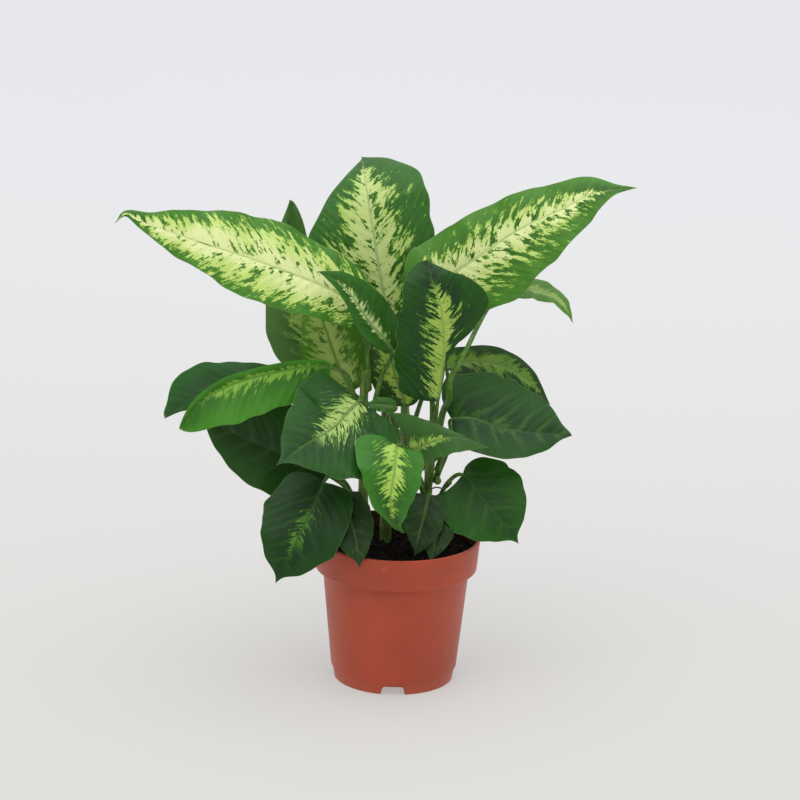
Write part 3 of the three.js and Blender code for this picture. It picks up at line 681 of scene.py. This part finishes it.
def grow(name, **given):
    """One leaf, from its values and the usual ones."""
    leaf = {**LEAF, **given}
    look = {**LOOK, **leaf.get("look", {})}
    seed = 11.3 * (len(grown) + 1)
    length, blade_rows, stalk_rows, out = leaf_frames(leaf)
    bm = bmesh.new()
    for side in (1, -1):
        skin(bm, BLADE_COLUMNS, BLADE_ROWS, *blade_surface(leaf, length, blade_rows, seed, side),
             material=0 if side > 0 else 1)
    skin(bm, STALK_COLUMNS, PETIOLE_ROWS + RIB_ROWS, stalk_surface(out, stalk_rows, seed), material=2)
    bmesh.ops.remove_doubles(bm, verts=bm.verts, dist=0.0005)
    bmesh.ops.recalc_face_normals(bm, faces=bm.faces)
    upper, under = (blade_paint(f"{name}_{face}", look, seed, face == "under") for face in ("upper", "under"))
    grown.append(piece(f"{name}_blade", bm, [upper, under, stalk_skin], leaf["slot"], name, sharp=50))


grow("leaf_crown", stem="stem_back", at=232, petiole=[(-10, 4, 250)], midrib=[(-10, 6, 261), (-18, 7, 304),
     (-25, 14, 341), (-29, 27, 360), (-31, 44, 367), (-32, 62, 368)],
     face=[(0, -1, 0.1), (-0.15, -0.3, 1)], wide=(52, 43), belly=(0.36, 0.6), taper=(2.2, 1), fold=(4, 6),
     look=dict(green=(50, 104, 32), deep=(38, 88, 22), lime=(110, 162, 48), cream=(198, 216, 136),
               bright=(168, 206, 88), rib=(164, 188, 122), reach=(0.6, 0.56), length=(-0.2, -0.1, 0.6, 0.86),
               slope=1.3, jag=3.2, mottle=1.0, solid=0.2, fray=0.55, ribbed=0.9))
grow("leaf_west", stem="stem_left", at=214, petiole=[(-24, -8, 245)], midrib=[(-24, -14, 268),
     (-44, -22, 287), (-72, -32, 302), (-106, -42, 316), (-140, -51, 329), (-172, -58, 341),
     (-188, -61, 349), (-196, -62, 343)], face=[(0.2, -0.8, 0.6), (0, -0.8, 0.6)], wide=(29, 34),
     belly=(0.45, 0.42), rise=(0.8, 0.6), taper=(1.5, 1.3), fold=(4, 4), wave=(2.2, 5), slot="leaf_cream",
     look=dict(green=(66, 126, 36), deep=(46, 98, 24), lime=(132, 180, 62), cream=(226, 236, 166),
               bright=(188, 218, 100), rib=(186, 206, 128), reach=(0.74, 0.72),
               length=(-0.2, -0.1, 0.82, 1.02), slope=1.5, jag=2.8, mottle=1.0, solid=0.22,
               fray=0.2, fringe=0.14))
grow("leaf_east", stem="stem_right", at=166, petiole=[(23, 9, 200), (20, 8, 226), (20, 1, 252)],
     midrib=[(20, -8, 287), (32, -8, 299), (52, -9, 314), (72, -9, 329), (90, -9, 340), (109, -8, 349),
     (130, -6, 360), (160, -2, 364)], face=[(-0.1, -1, 0.25), (-0.05, -0.75, 0.65)], wide=(30, 38),
     belly=(0.15, 0.3), start=(0.95, 0.3), taper=(0.75, 1.3), lobe=(0.06, 0.03), fold=(4, 4),
     wave=(1.6, 4.5), drip=0.5,
     look=dict(green=(74, 132, 40), deep=(46, 98, 24), lime=(122, 174, 54), cream=(226, 238, 164),
               bright=(180, 212, 88), rib=(190, 210, 136), reach=(0.64, 0.66), length=(-0.2, -0.1, 0.6, 0.9),
               slope=1.4, jag=3.0, mottle=1.1, solid=0.16, fray=0.45, fringe=0.16))
grow("leaf_mast", stem="stem_right", at=150, petiole=[(24, -16, 176), (25, -24, 198)],
     midrib=[(26, -32, 214), (29, -38, 239), (29, -44, 263), (26, -49, 287), (20, -48, 305),
     (16, -40, 318)], face=[(0, -1, 0.2), (0, -0.9, 0.5)], wide=(34, 32), belly=(0.38, 0.66),
     start=(0.55, 0.04), rise=(0.5, 10), taper=(0.45, 1.25), fold=(8, 8), slot="leaf_dark",
     look=dict(green=(24, 76, 8), deep=(12, 50, 18), lime=(84, 138, 34), cream=(170, 200, 90),
               bright=(140, 184, 62), rib=(128, 166, 76), reach=(0.26, 0.3), length=(-0.02, 0.06, 0.5, 0.92),
               slope=1.8, jag=3.4, mottle=1.0, solid=0.34, fine=1.5, ribbed=0.5, tip=0))
grow("leaf_young", stem="stem_left", at=190, petiole=[(-14, -14, 226)], midrib=[(-7, -20, 247),
     (-22, -30, 269), (-33, -37, 287), (-43, -41, 299), (-52, -42, 305), (-59, -41, 308)],
     face=[(0.3, -0.9, 0.3), (0.2, -0.9, 0.4)], wide=(10, 19), belly=(0.4, 0.4), fold=(16, 16),
     wave=(0.3, 2),
     look=dict(green=(50, 108, 30), deep=(40, 92, 24), lime=(110, 160, 56), cream=(214, 226, 160),
               rib=(120, 160, 76), reach=(0.16, 0.2), length=(0.05, 0.2, 0.6, 0.9), slope=1.6, jag=2.4,
               solid=0.35, fine=1.3))
grow("leaf_flag", stem="stem_back", at=208, petiole=[(-22, 16, 219), (-38, 21, 220)],
     midrib=[(-51, 24, 223), (-62, 30, 249), (-71, 35, 277), (-78, 38, 309), (-82, 36, 341)],
     face=[(0, -1, 0.1), (0, -1, 0.1)], wide=(34, 12), belly=(0.25, 0.5), start=(0.4, 0.3),
     taper=(1.2, 0.5), fold=(5, 5),
     look=dict(green=(86, 126, 60), deep=(54, 98, 32), lime=(112, 154, 66), cream=(168, 196, 108),
               reach=(0.3, 0.25), length=(-0.2, -0.1, 0.3, 0.6)))
grow("leaf_veil", stem="stem_back", at=178, petiole=[(-20, 8, 198)], midrib=[(-34, 8, 209), (-46, 13, 231),
     (-55, 16, 255), (-67, 17, 280), (-73, 15, 300)], face=[(0.2, -1, 0.1), (0, -1, 0.1)], wide=(26, 24),
     belly=(0.22, 0.3), start=(0.5, 0.5), taper=(2, 1.6), fold=(5, 5), slot="leaf_cream",
     look=dict(green=(86, 140, 40), deep=(66, 118, 32), lime=(126, 168, 62), cream=(178, 204, 110),
               bright=(152, 190, 80), rib=(112, 154, 62), reach=(0.7, 0.5), jag=2.6, solid=0.25))
grow("leaf_far", stem="stem_right", at=174, petiole=[(30, -15, 202), (34, -34, 218), (34, -46, 235),
     (40, -49, 248), (45, -48, 258), (50, -36, 266), (55, -20, 272), (60, -6, 277), (67, 1, 281)],
     midrib=[(75, 5, 285), (89, 10, 287), (107, 8, 282), (116, 5, 273), (120, 3, 265)],
     face=[(0.1, -0.5, 0.9), (0.5, -0.5, 0.8)], wide=(11, 10), belly=(0.35, 0.35),
     look=dict(green=(92, 142, 56), deep=(84, 134, 52), lime=(128, 170, 84), cream=(170, 200, 116),
               rib=(150, 184, 100), reach=(0.25, 0.25), jag=1.2))
grow("leaf_core", stem="stem_back", at=152, petiole=[(-3, 1, 182)], midrib=[(3, -1, 202), (-3, -4, 222),
     (-9, -5, 246), (-13, -4, 264), (-15, -2, 272)], face=[(0, -1, 0.1), (0, -1, 0.2)], wide=(18, 17),
     belly=(0.35, 0.4), start=(0.1, 0.25),
     look=dict(green=(40, 84, 22), deep=(24, 58, 14), lime=(108, 152, 44), cream=(160, 192, 84),
               reach=(0.5, 0.5), solid=0.2, jag=2.4))

# ---------------------------------------------------------------- leaves on the left
# The older leaves of the left shoot hang outwards. They are darker and plainer than the crown leaves, and
# most keep only a lime streak along the midrib.

grow("leaf_left_high", stem="stem_left", at=176, petiole=[(-40, 2, 208)], midrib=[(-62, 4, 221),
     (-92, 0, 222), (-119, -8, 218), (-144, -14, 209), (-165, -20, 194)],
     face=[(0, -0.7, 0.8), (-0.3, -0.7, 0.6)], wide=(17, 23), belly=(0.45, 0.72), start=(0.25, 0.1),
     rise=(0.5, 2.6), taper=(1.1, 0.5), wave=(1.2, 3), drip=0.4,
     look=dict(green=(16, 86, 4), deep=(12, 68, 6), lime=(52, 110, 28), cream=(76, 128, 42),
               rib=(60, 112, 38), reach=(0.04, 0.04), jag=0.8, mottle=0.4, veins=0.15, ribbed=0.5))
grow("leaf_left_striped", stem="stem_left", at=203, petiole=[(-38, -10, 226)], midrib=[(-49, -12, 232),
     (-64, -18, 234), (-84, -26, 232), (-106, -34, 228), (-125, -39, 221), (-140, -43, 211),
     (-153, -45, 194)], face=[(0, -0.9, 0.5), (-0.1, -0.9, 0.4)], wide=(26, 9), belly=(0.6, 0.6),
     taper=(0.55, 0.7), fold=(5, 55),
     look=dict(green=(70, 140, 34), deep=(46, 110, 22), lime=(112, 166, 50), cream=(140, 188, 70),
               bright=(128, 178, 58), rib=(104, 156, 56), reach=(0.14, 0.24), length=(0.02, 0.15, 0.55, 0.9),
               slope=1.8, jag=2.6, solid=0.4, fine=1.5))
grow("leaf_left_low", stem="stem_left", at=118, petiole=[(-36, -4, 140)], midrib=[(-49, -4, 150),
     (-70, -7, 161), (-91, -11, 171), (-112, -13, 180), (-138, -15, 192)],
     face=[(0, -1, 0.3), (-0.1, -1, 0.3)], wide=(31, 35), belly=(0.45, 0.4), taper=(0.95, 1.1),
     slot="leaf_dark",
     look=dict(green=(32, 80, 14), deep=(22, 62, 12), lime=(64, 104, 30), rib=(52, 86, 28), veins=0.25,
               ribbed=0.6, broad=0.4))
grow("leaf_left_centre", stem="stem_left", at=180, petiole=[(-28, -24, 212)], midrib=[(-29, -31, 213),
     (-37, -42, 207), (-46, -54, 200), (-66, -73, 192), (-83, -86, 182)],
     face=[(-0.1, -0.95, 0.35), (-0.1, -0.9, 0.45)], wide=(46, 39), belly=(0.36, 0.25), start=(0.5, 0.5),
     taper=(1.4, 1.1), lobe=(0.08, 0.08), wave=(2, 2.5), drip=0.4, slot="leaf_dark",
     look=dict(green=(32, 84, 22), deep=(20, 64, 18), lime=(92, 142, 46), cream=(176, 202, 116),
               bright=(142, 184, 72), rib=(78, 126, 44), reach=(0.2, 0.26), length=(-0.2, -0.1, 0.25, 0.68),
               slope=1.8, jag=3.4, mottle=1.1, solid=0.26, fine=1.9, veins=0.15, ribbed=0.7))
grow("leaf_low_left", stem="stem_left", at=124, petiole=[(-36, -18, 148), (-45, -27, 158)],
     midrib=[(-52, -34, 155), (-60, -47, 138), (-70, -57, 118), (-78, -60, 101), (-84, -58, 87)],
     face=[(-0.1, -0.8, 0.6), (-0.1, -1, 0)], wide=(30, 32), belly=(0.42, 0.4), start=(0.4, 0.4),
     lobe=(0.06, 0.06), drip=0.55, slot="leaf_dark",
     look=dict(green=(22, 68, 14), deep=(14, 52, 12), lime=(52, 108, 20), cream=(108, 160, 52),
               bright=(90, 144, 38), rib=(44, 92, 26), reach=(0.05, 0.06), length=(0.15, 0.35, 0.6, 0.85),
               slope=1.8, jag=2.8, mottle=1.0, solid=0.4, fine=1.7, veins=0.15, ribbed=0.6, broad=0.35))
grow("leaf_low_left_inner", stem="stem_left", at=106, petiole=[(-30, -20, 136)], midrib=[(-36, -26, 146),
     (-33, -42, 133), (-28, -54, 117), (-25, -62, 101)], face=[(0, -0.8, 0.6), (0, -1, 0.2)],
     wide=(15, 16), belly=(0.45, 0.45), drip=0.4, slot="leaf_dark",
     look=dict(green=(24, 62, 14), deep=(16, 48, 10), ribbed=0.4))

# ---------------------------------------------------------------- leaves on the right and in front
# The right shoot carries dark spreading leaves, two feathered ones that face forward over the rim, and a
# small bract beside the crown's foot.

grow("leaf_front", stem="stem_right", at=132, petiole=[(14, -25, 157), (7, -47, 179), (4, -56, 188)],
     midrib=[(-1, -62, 191), (-2, -71, 185), (-3, -79, 175), (-5, -83, 160), (-4, -82, 149),
     (-1, -77, 137), (5, -75, 132)], face=[(0, -0.95, 0.3), (0, -1, 0.1)], wide=(20, 29),
     belly=(0.25, 0.12), start=(0.5, 0.9), taper=(1.0, 1.9), lobe=(0.0, 0.12),
     look=dict(green=(54, 122, 30), deep=(30, 80, 18), lime=(96, 152, 38), cream=(172, 206, 92),
               bright=(136, 184, 56), rib=(84, 136, 44), reach=(0.34, 0.36), length=(-0.1, 0.04, 0.5, 0.85),
               slope=1.8, jag=3.2, mottle=1.0, solid=0.22, fine=1.9, ribbed=0.5))
grow("leaf_front_small", stem="stem_right", at=142, petiole=[(8, -14, 168), (7, -25, 182)],
     midrib=[(8, -36, 180), (15, -43, 185), (26, -47, 191), (39, -48, 194), (50, -48, 192),
     (62, -47, 187)], face=[(-0.1, -1, 0.16), (0, -0.8, 0.6)], wide=(31, 12), belly=(0.04, 0.5),
     start=(0.95, 0.25), taper=(4.2, 1), lobe=(0.1, 0.05),
     look=dict(green=(60, 106, 42), deep=(54, 94, 42), lime=(98, 146, 50), cream=(170, 204, 92),
               bright=(140, 188, 66), rib=(84, 128, 58), reach=(0.14, 0.16), length=(0.0, 0.12, 0.4, 0.6),
               slope=1.8, jag=2.8, mottle=1.0, solid=0.35, fine=1.8, ribbed=0.6))
grow("leaf_right_broad", stem="stem_right", at=156, petiole=[(36, -10, 184)], midrib=[(36, -15, 197),
     (50, -19, 200), (66, -22, 196), (84, -25, 193), (103, -26, 192), (121, -26, 191)],
     face=[(-0.1, -0.8, 0.6), (0.1, -0.8, 0.6)], wide=(36, 24), belly=(0.42, 0.4), start=(0.85, 0.4),
     taper=(0.8, 1.0), lobe=(0.1, 0.04), drip=0.35, slot="leaf_dark",
     look=dict(green=(32, 80, 20), deep=(20, 60, 16), lime=(70, 116, 38), cream=(108, 156, 58),
               rib=(56, 98, 40), reach=(0.03, 0.03), length=(0.0, 0.1, 0.4, 0.8), jag=1.0, veins=0.25,
               ribbed=0.7, broad=0.6))
grow("leaf_right_back", stem="stem_right", at=146, petiole=[(38, 6, 180), (38, 11, 206)],
     midrib=[(33, 11, 227), (49, 14, 232), (69, 18, 229), (88, 20, 220), (107, 17, 201)],
     face=[(-0.1, -0.7, 0.7), (0.3, -0.8, 0.5)], wide=(13, 20), belly=(0.4, 0.4), start=(0.75, 0.5),
     lobe=(0.1, 0.05),
     look=dict(green=(32, 72, 14), deep=(20, 54, 12), lime=(74, 114, 30), cream=(112, 150, 56),
               bright=(98, 140, 44), reach=(0.45, 0.3), length=(-0.1, 0.0, 0.7, 0.95), solid=0.4))
grow("leaf_right_low", stem="stem_right", at=120, petiole=[(34, -6, 146)], midrib=[(45, -12, 156),
     (58, -22, 144), (72, -30, 130), (86, -34, 113)], face=[(0.1, -0.9, 0.4), (0.2, -1, 0.2)],
     wide=(31, 31), belly=(0.42, 0.42), start=(0.3, 0.4), lobe=(0.06, 0.06), drip=0.55, slot="leaf_dark",
     look=dict(green=(36, 92, 12), deep=(24, 70, 12), lime=(62, 116, 28), rib=(50, 92, 30), veins=0.15,
               ribbed=0.6, broad=0.4))
grow("leaf_low_right", stem="stem_right", at=106, petiole=[(20, -17, 134)], midrib=[(22, -26, 145),
     (19, -37, 133), (15, -43, 118), (13, -45, 106)], face=[(0, -0.8, 0.6), (0, -1, 0.1)], wide=(15, 16),
     belly=(0.4, 0.35), start=(0.3, 0.3), taper=(0.8, 1.6), slot="leaf_dark",
     look=dict(green=(26, 62, 18), deep=(18, 50, 16), ribbed=0.4))
grow("leaf_low_right_inner", stem="stem_right", at=101, petiole=[(31, -12, 130)],
     midrib=[(32, -20, 137), (29, -34, 121), (24, -47, 102)],
     face=[(0, -0.8, 0.6), (0, -1, 0.2)], wide=(11, 11), belly=(0.45, 0.45), slot="leaf_dark",
     look=dict(green=(24, 60, 14), deep=(16, 46, 10), ribbed=0.4))
grow("leaf_bract", stem="stem_back", at=186, petiole=[(-6, -10, 200)],
     midrib=[(-3, -22, 207), (-14, -24, 209), (-25, -24, 209)],
     face=[(0, -0.9, 0.5), (0, -0.9, 0.5)], wide=(5, 6), belly=(0.4, 0.4),
     look=dict(green=(54, 108, 28), deep=(40, 88, 20), ribbed=0.5))

# ---------------------------------------------------------------- leaves at the rear
# The rear shoot and the back one fill the far side with arching leaves of the same kinds, so that the
# plant is full all round.

REAR_LOOK = dict(green=(40, 96, 26), deep=(28, 74, 20), lime=(104, 156, 46), cream=(196, 214, 130),
                 bright=(152, 194, 74), rib=(120, 158, 76), reach=(0.42, 0.42),
                 length=(-0.2, -0.1, 0.5, 0.88), slope=1.4, solid=0.42)
REAR_DARK = dict(green=(26, 76, 14), deep=(16, 56, 12), lime=(66, 116, 32), cream=(110, 156, 56),
                 rib=(56, 100, 36), reach=(0.06, 0.06), jag=1.4, veins=0.15, ribbed=0.6)

grow("leaf_rear_high", stem="stem_rear", at=194, petiole=[(2, 46, 222)],
     midrib=[(2, 56, 236), (0, 76, 252), (-4, 98, 262), (-8, 122, 258), (-10, 140, 244)],
     face=[(0, -0.4, 1), (0, 0.4, 1)], wide=(30, 30), belly=(0.4, 0.4), look=REAR_LOOK)
grow("leaf_rear_west", stem="stem_rear", at=166, petiole=[(-14, 46, 198)],
     midrib=[(-24, 58, 226), (-44, 72, 236), (-64, 86, 240), (-82, 98, 230)],
     face=[(0, 0.2, 1), (-0.4, 0.5, 0.8)], wide=(27, 27), belly=(0.4, 0.4), look=REAR_LOOK)
grow("leaf_rear_east", stem="stem_rear", at=170, petiole=[(18, 44, 202)],
     midrib=[(28, 54, 214), (46, 66, 220), (66, 80, 218), (84, 92, 204)],
     face=[(0, 0.2, 1), (0.4, 0.5, 0.8)], wide=(28, 28), belly=(0.4, 0.4), look=REAR_LOOK)
grow("leaf_rear_tall", stem="stem_back", at=222, petiole=[(-7, 22, 244)],
     midrib=[(-5, 30, 254), (-3, 44, 284), (2, 64, 308), (6, 86, 319), (8, 104, 317)],
     face=[(0, 0.9, 0.5), (0, 0.3, 1)], wide=(21, 21), belly=(0.4, 0.4), slot="leaf_dark", look=REAR_DARK)
grow("leaf_rear_left", stem="stem_rear", at=197, petiole=[(-10, 40, 222)],
     midrib=[(-24, 48, 244), (-46, 60, 260), (-70, 74, 268), (-92, 86, 264)],
     face=[(0.2, 0.3, 1), (-0.3, 0.5, 0.9)], wide=(22, 22), belly=(0.42, 0.42), slot="leaf_dark",
     look=REAR_DARK)
grow("leaf_rear_right", stem="stem_back", at=214, petiole=[(8, 16, 232), (24, 22, 238)],
     midrib=[(36, 28, 240), (52, 46, 260), (71, 63, 273), (89, 78, 275)],
     face=[(-0.2, 0.3, 1), (0.3, 0.5, 0.9)], wide=(20, 20), belly=(0.42, 0.42), slot="leaf_dark",
     look=REAR_DARK)
grow("leaf_rear_low_west", stem="stem_rear", at=136, petiole=[(-14, 48, 168)],
     midrib=[(-30, 60, 178), (-44, 72, 172), (-58, 84, 156), (-66, 92, 136)],
     face=[(-0.2, 0.6, 0.8), (-0.5, 0.8, 0.2)], wide=(27, 27), belly=(0.4, 0.4), look=REAR_LOOK)
grow("leaf_rear_low", stem="stem_rear", at=126, petiole=[(8, 54, 156)],
     midrib=[(10, 66, 164), (12, 80, 158), (13, 92, 142), (13, 98, 120)],
     face=[(0, 0.6, 0.8), (0, 1, 0.2)], wide=(27, 27), belly=(0.4, 0.4), look=REAR_LOOK)
grow("leaf_rear_low_east", stem="stem_rear", at=103, petiole=[(28, 44, 121), (40, 48, 125)],
     midrib=[(50, 54, 127), (61, 61, 123), (72, 67, 111), (78, 70, 97)],
     face=[(0.3, 0.5, 0.8), (0.7, 0.7, 0.2)], wide=(19, 19), belly=(0.4, 0.4), look=REAR_LOOK)

# ---------------------------------------------------------------- rolled leaf
# The newest leaf of the back shoot is still rolled into a pale spear: one blade wound round itself, with
# its free margin running up the outside as a seam.

SPEAR_R, SPEAR_TURNS, SPEAR_LONG = 2.4, 1.3, 8.5
SPEAR_COLUMNS, SPEAR_ROWS = 40, 60
SPEAR_ROUTE = [(-11.5, 9, 241), (-16, 3, 250), (-21, -1, 262), (-27, 0, 280), (-36, 0, 301), (-46, -1, 318)]
SPEAR_GREEN = (138, 170, 84)
SPEAR_PALE = (176, 198, 116)


def spear_paint():
    paint = Paint(bpy.data.materials.new("rolled_blade"))
    x, y, _ = paint.split(paint.uv_place("flat"))
    stripe = paint.noise(paint.vector((y + x * 0.9) * 5, x * 1.5, 3), 1, 3)
    tone = paint.mix(paint.step(stripe, 0.4, 0.62), srgb(*SPEAR_GREEN), srgb(*SPEAR_PALE))
    paint.set("Base Color", tone)
    paint.set("Roughness", 0.36 + stripe * 0.14)
    paint.bump(stripe, 0.0003, 0.6)
    return paint.owner


spear = route(SPEAR_ROUTE)


def spear_surface(side):
    def place(u, v):
        centre, along = spear(v)
        right = along.cross(Vector((0, -1, 0.3))).normalized()
        up = right.cross(along)
        swell = SPEAR_R * (0.45 + 0.55 * math.sin(math.pi * min(1, 1.25 * v)))
        girth = min(swell, max(TIP_R, swell if v < 0.4 else SPEAR_R * (1 - v) ** 0.7 * 1.4))
        wound = u if side > 0 else 1 - u
        edge = math.sin(math.pi * wound) ** 0.3 * math.sin(math.pi * min(0.99, v + 0.01)) ** 0.2
        reach = girth * (0.72 + 0.3 * wound) + side * 0.12 * edge
        angle = -2 * math.pi * SPEAR_TURNS * wound + 0.6
        return centre + (right * math.cos(angle) + up * math.sin(angle)) * reach

    return place


def spear_flat(u, v):
    return SPEAR_TURNS * u, SPEAR_LONG * v


bm = bmesh.new()
for side in (1, -1):
    skin(bm, SPEAR_COLUMNS, SPEAR_ROWS, spear_surface(side), flat=spear_flat)
bmesh.ops.remove_doubles(bm, verts=bm.verts, dist=0.0005)
bmesh.ops.recalc_face_normals(bm, faces=bm.faces)
piece("rolled_leaf_spear", bm, [spear_paint()], "leaf_cream", "leaf_rolled", sharp=60)

# ---------------------------------------------------------------- floor, light and camera
# A plain pale floor under soft light from above and in front, and the camera a little above the plant.

AIM = Vector((-0.0002, 0, 0.2063))
CAMERA_AWAY, CAMERA_DOWN, CAMERA_ROLL = 2.2, 15.7, 1.5
CAMERA_LENS = 139.9
FLOOR_SIZE, FLOOR_FADE = 30, (-0.4, 1.8)
FLOOR_TONES = (150, 149, 148), (154, 153, 152)
FLOOR_NEAR, FLOOR_FAR = (163, 162, 159), (182, 184, 188)
SKY_LOW, SKY_MORE = 0.4, 0.75
LAMPS = [("key", (-0.5, -1.0, 2.0), 1.4, 9), ("top", (0.4, 0.2, 2.3), 1.8, 9)]
LAMPS_AIM = Vector((0, 0, 0.15))

bm = bmesh.new()
bmesh.ops.create_grid(bm, x_segments=1, y_segments=1, size=FLOOR_SIZE)
paint = Paint(bpy.data.materials.new("pale_floor"))
place = paint.object_place()
cloud = paint.noise(place, 1.5, 2)
far = paint.step(paint.split(place)[1], *FLOOR_FADE)
paint.set("Base Color", paint.mix(cloud, srgb(*FLOOR_TONES[0]), srgb(*FLOOR_TONES[1])))
paint.set("Emission Color", paint.mix(far, srgb(*FLOOR_NEAR), srgb(*FLOOR_FAR)))
paint.set("Emission Strength", 1)
paint.set("Roughness", 0.9)
stand("floor", bm, [paint.owner])

world = bpy.data.worlds.new("studio")
sky = Paint(world, "Background")
height = sky.split(sky.node("ShaderNodeTexCoord").out("Generated"))[2]
sky.set("Color", (1, 1, 1, 1))
sky.set("Strength", SKY_LOW + sky.step(height, 0.0, 1.0) * SKY_MORE)
bpy.context.scene.world = world

for name, where, size, power in LAMPS:
    lamp = bpy.data.lights.new(name, "AREA")
    lamp.size, lamp.energy = size, power
    light = bpy.data.objects.new(name, lamp)
    light.location = where
    light.rotation_euler = (LAMPS_AIM - Vector(where)).to_track_quat("-Z", "Y").to_euler()
    bpy.context.scene.collection.objects.link(light)

camera = bpy.data.objects.new("camera", bpy.data.cameras.new("camera"))
camera.data.lens, camera.data.sensor_width = CAMERA_LENS, 36
pitch = math.radians(CAMERA_DOWN)
camera.location = AIM + Vector((0, -math.cos(pitch), math.sin(pitch))) * CAMERA_AWAY
facing = (AIM - camera.location).to_track_quat("-Z", "Y").to_matrix()
rolled = Matrix.Rotation(math.radians(CAMERA_ROLL), 3, "Z")
camera.rotation_euler = (facing @ rolled).to_euler()
bpy.context.scene.collection.objects.link(camera)
bpy.context.scene.camera = camera
bpy.context.scene.view_settings.view_transform = "Standard"

bpy.context.view_layer.update()
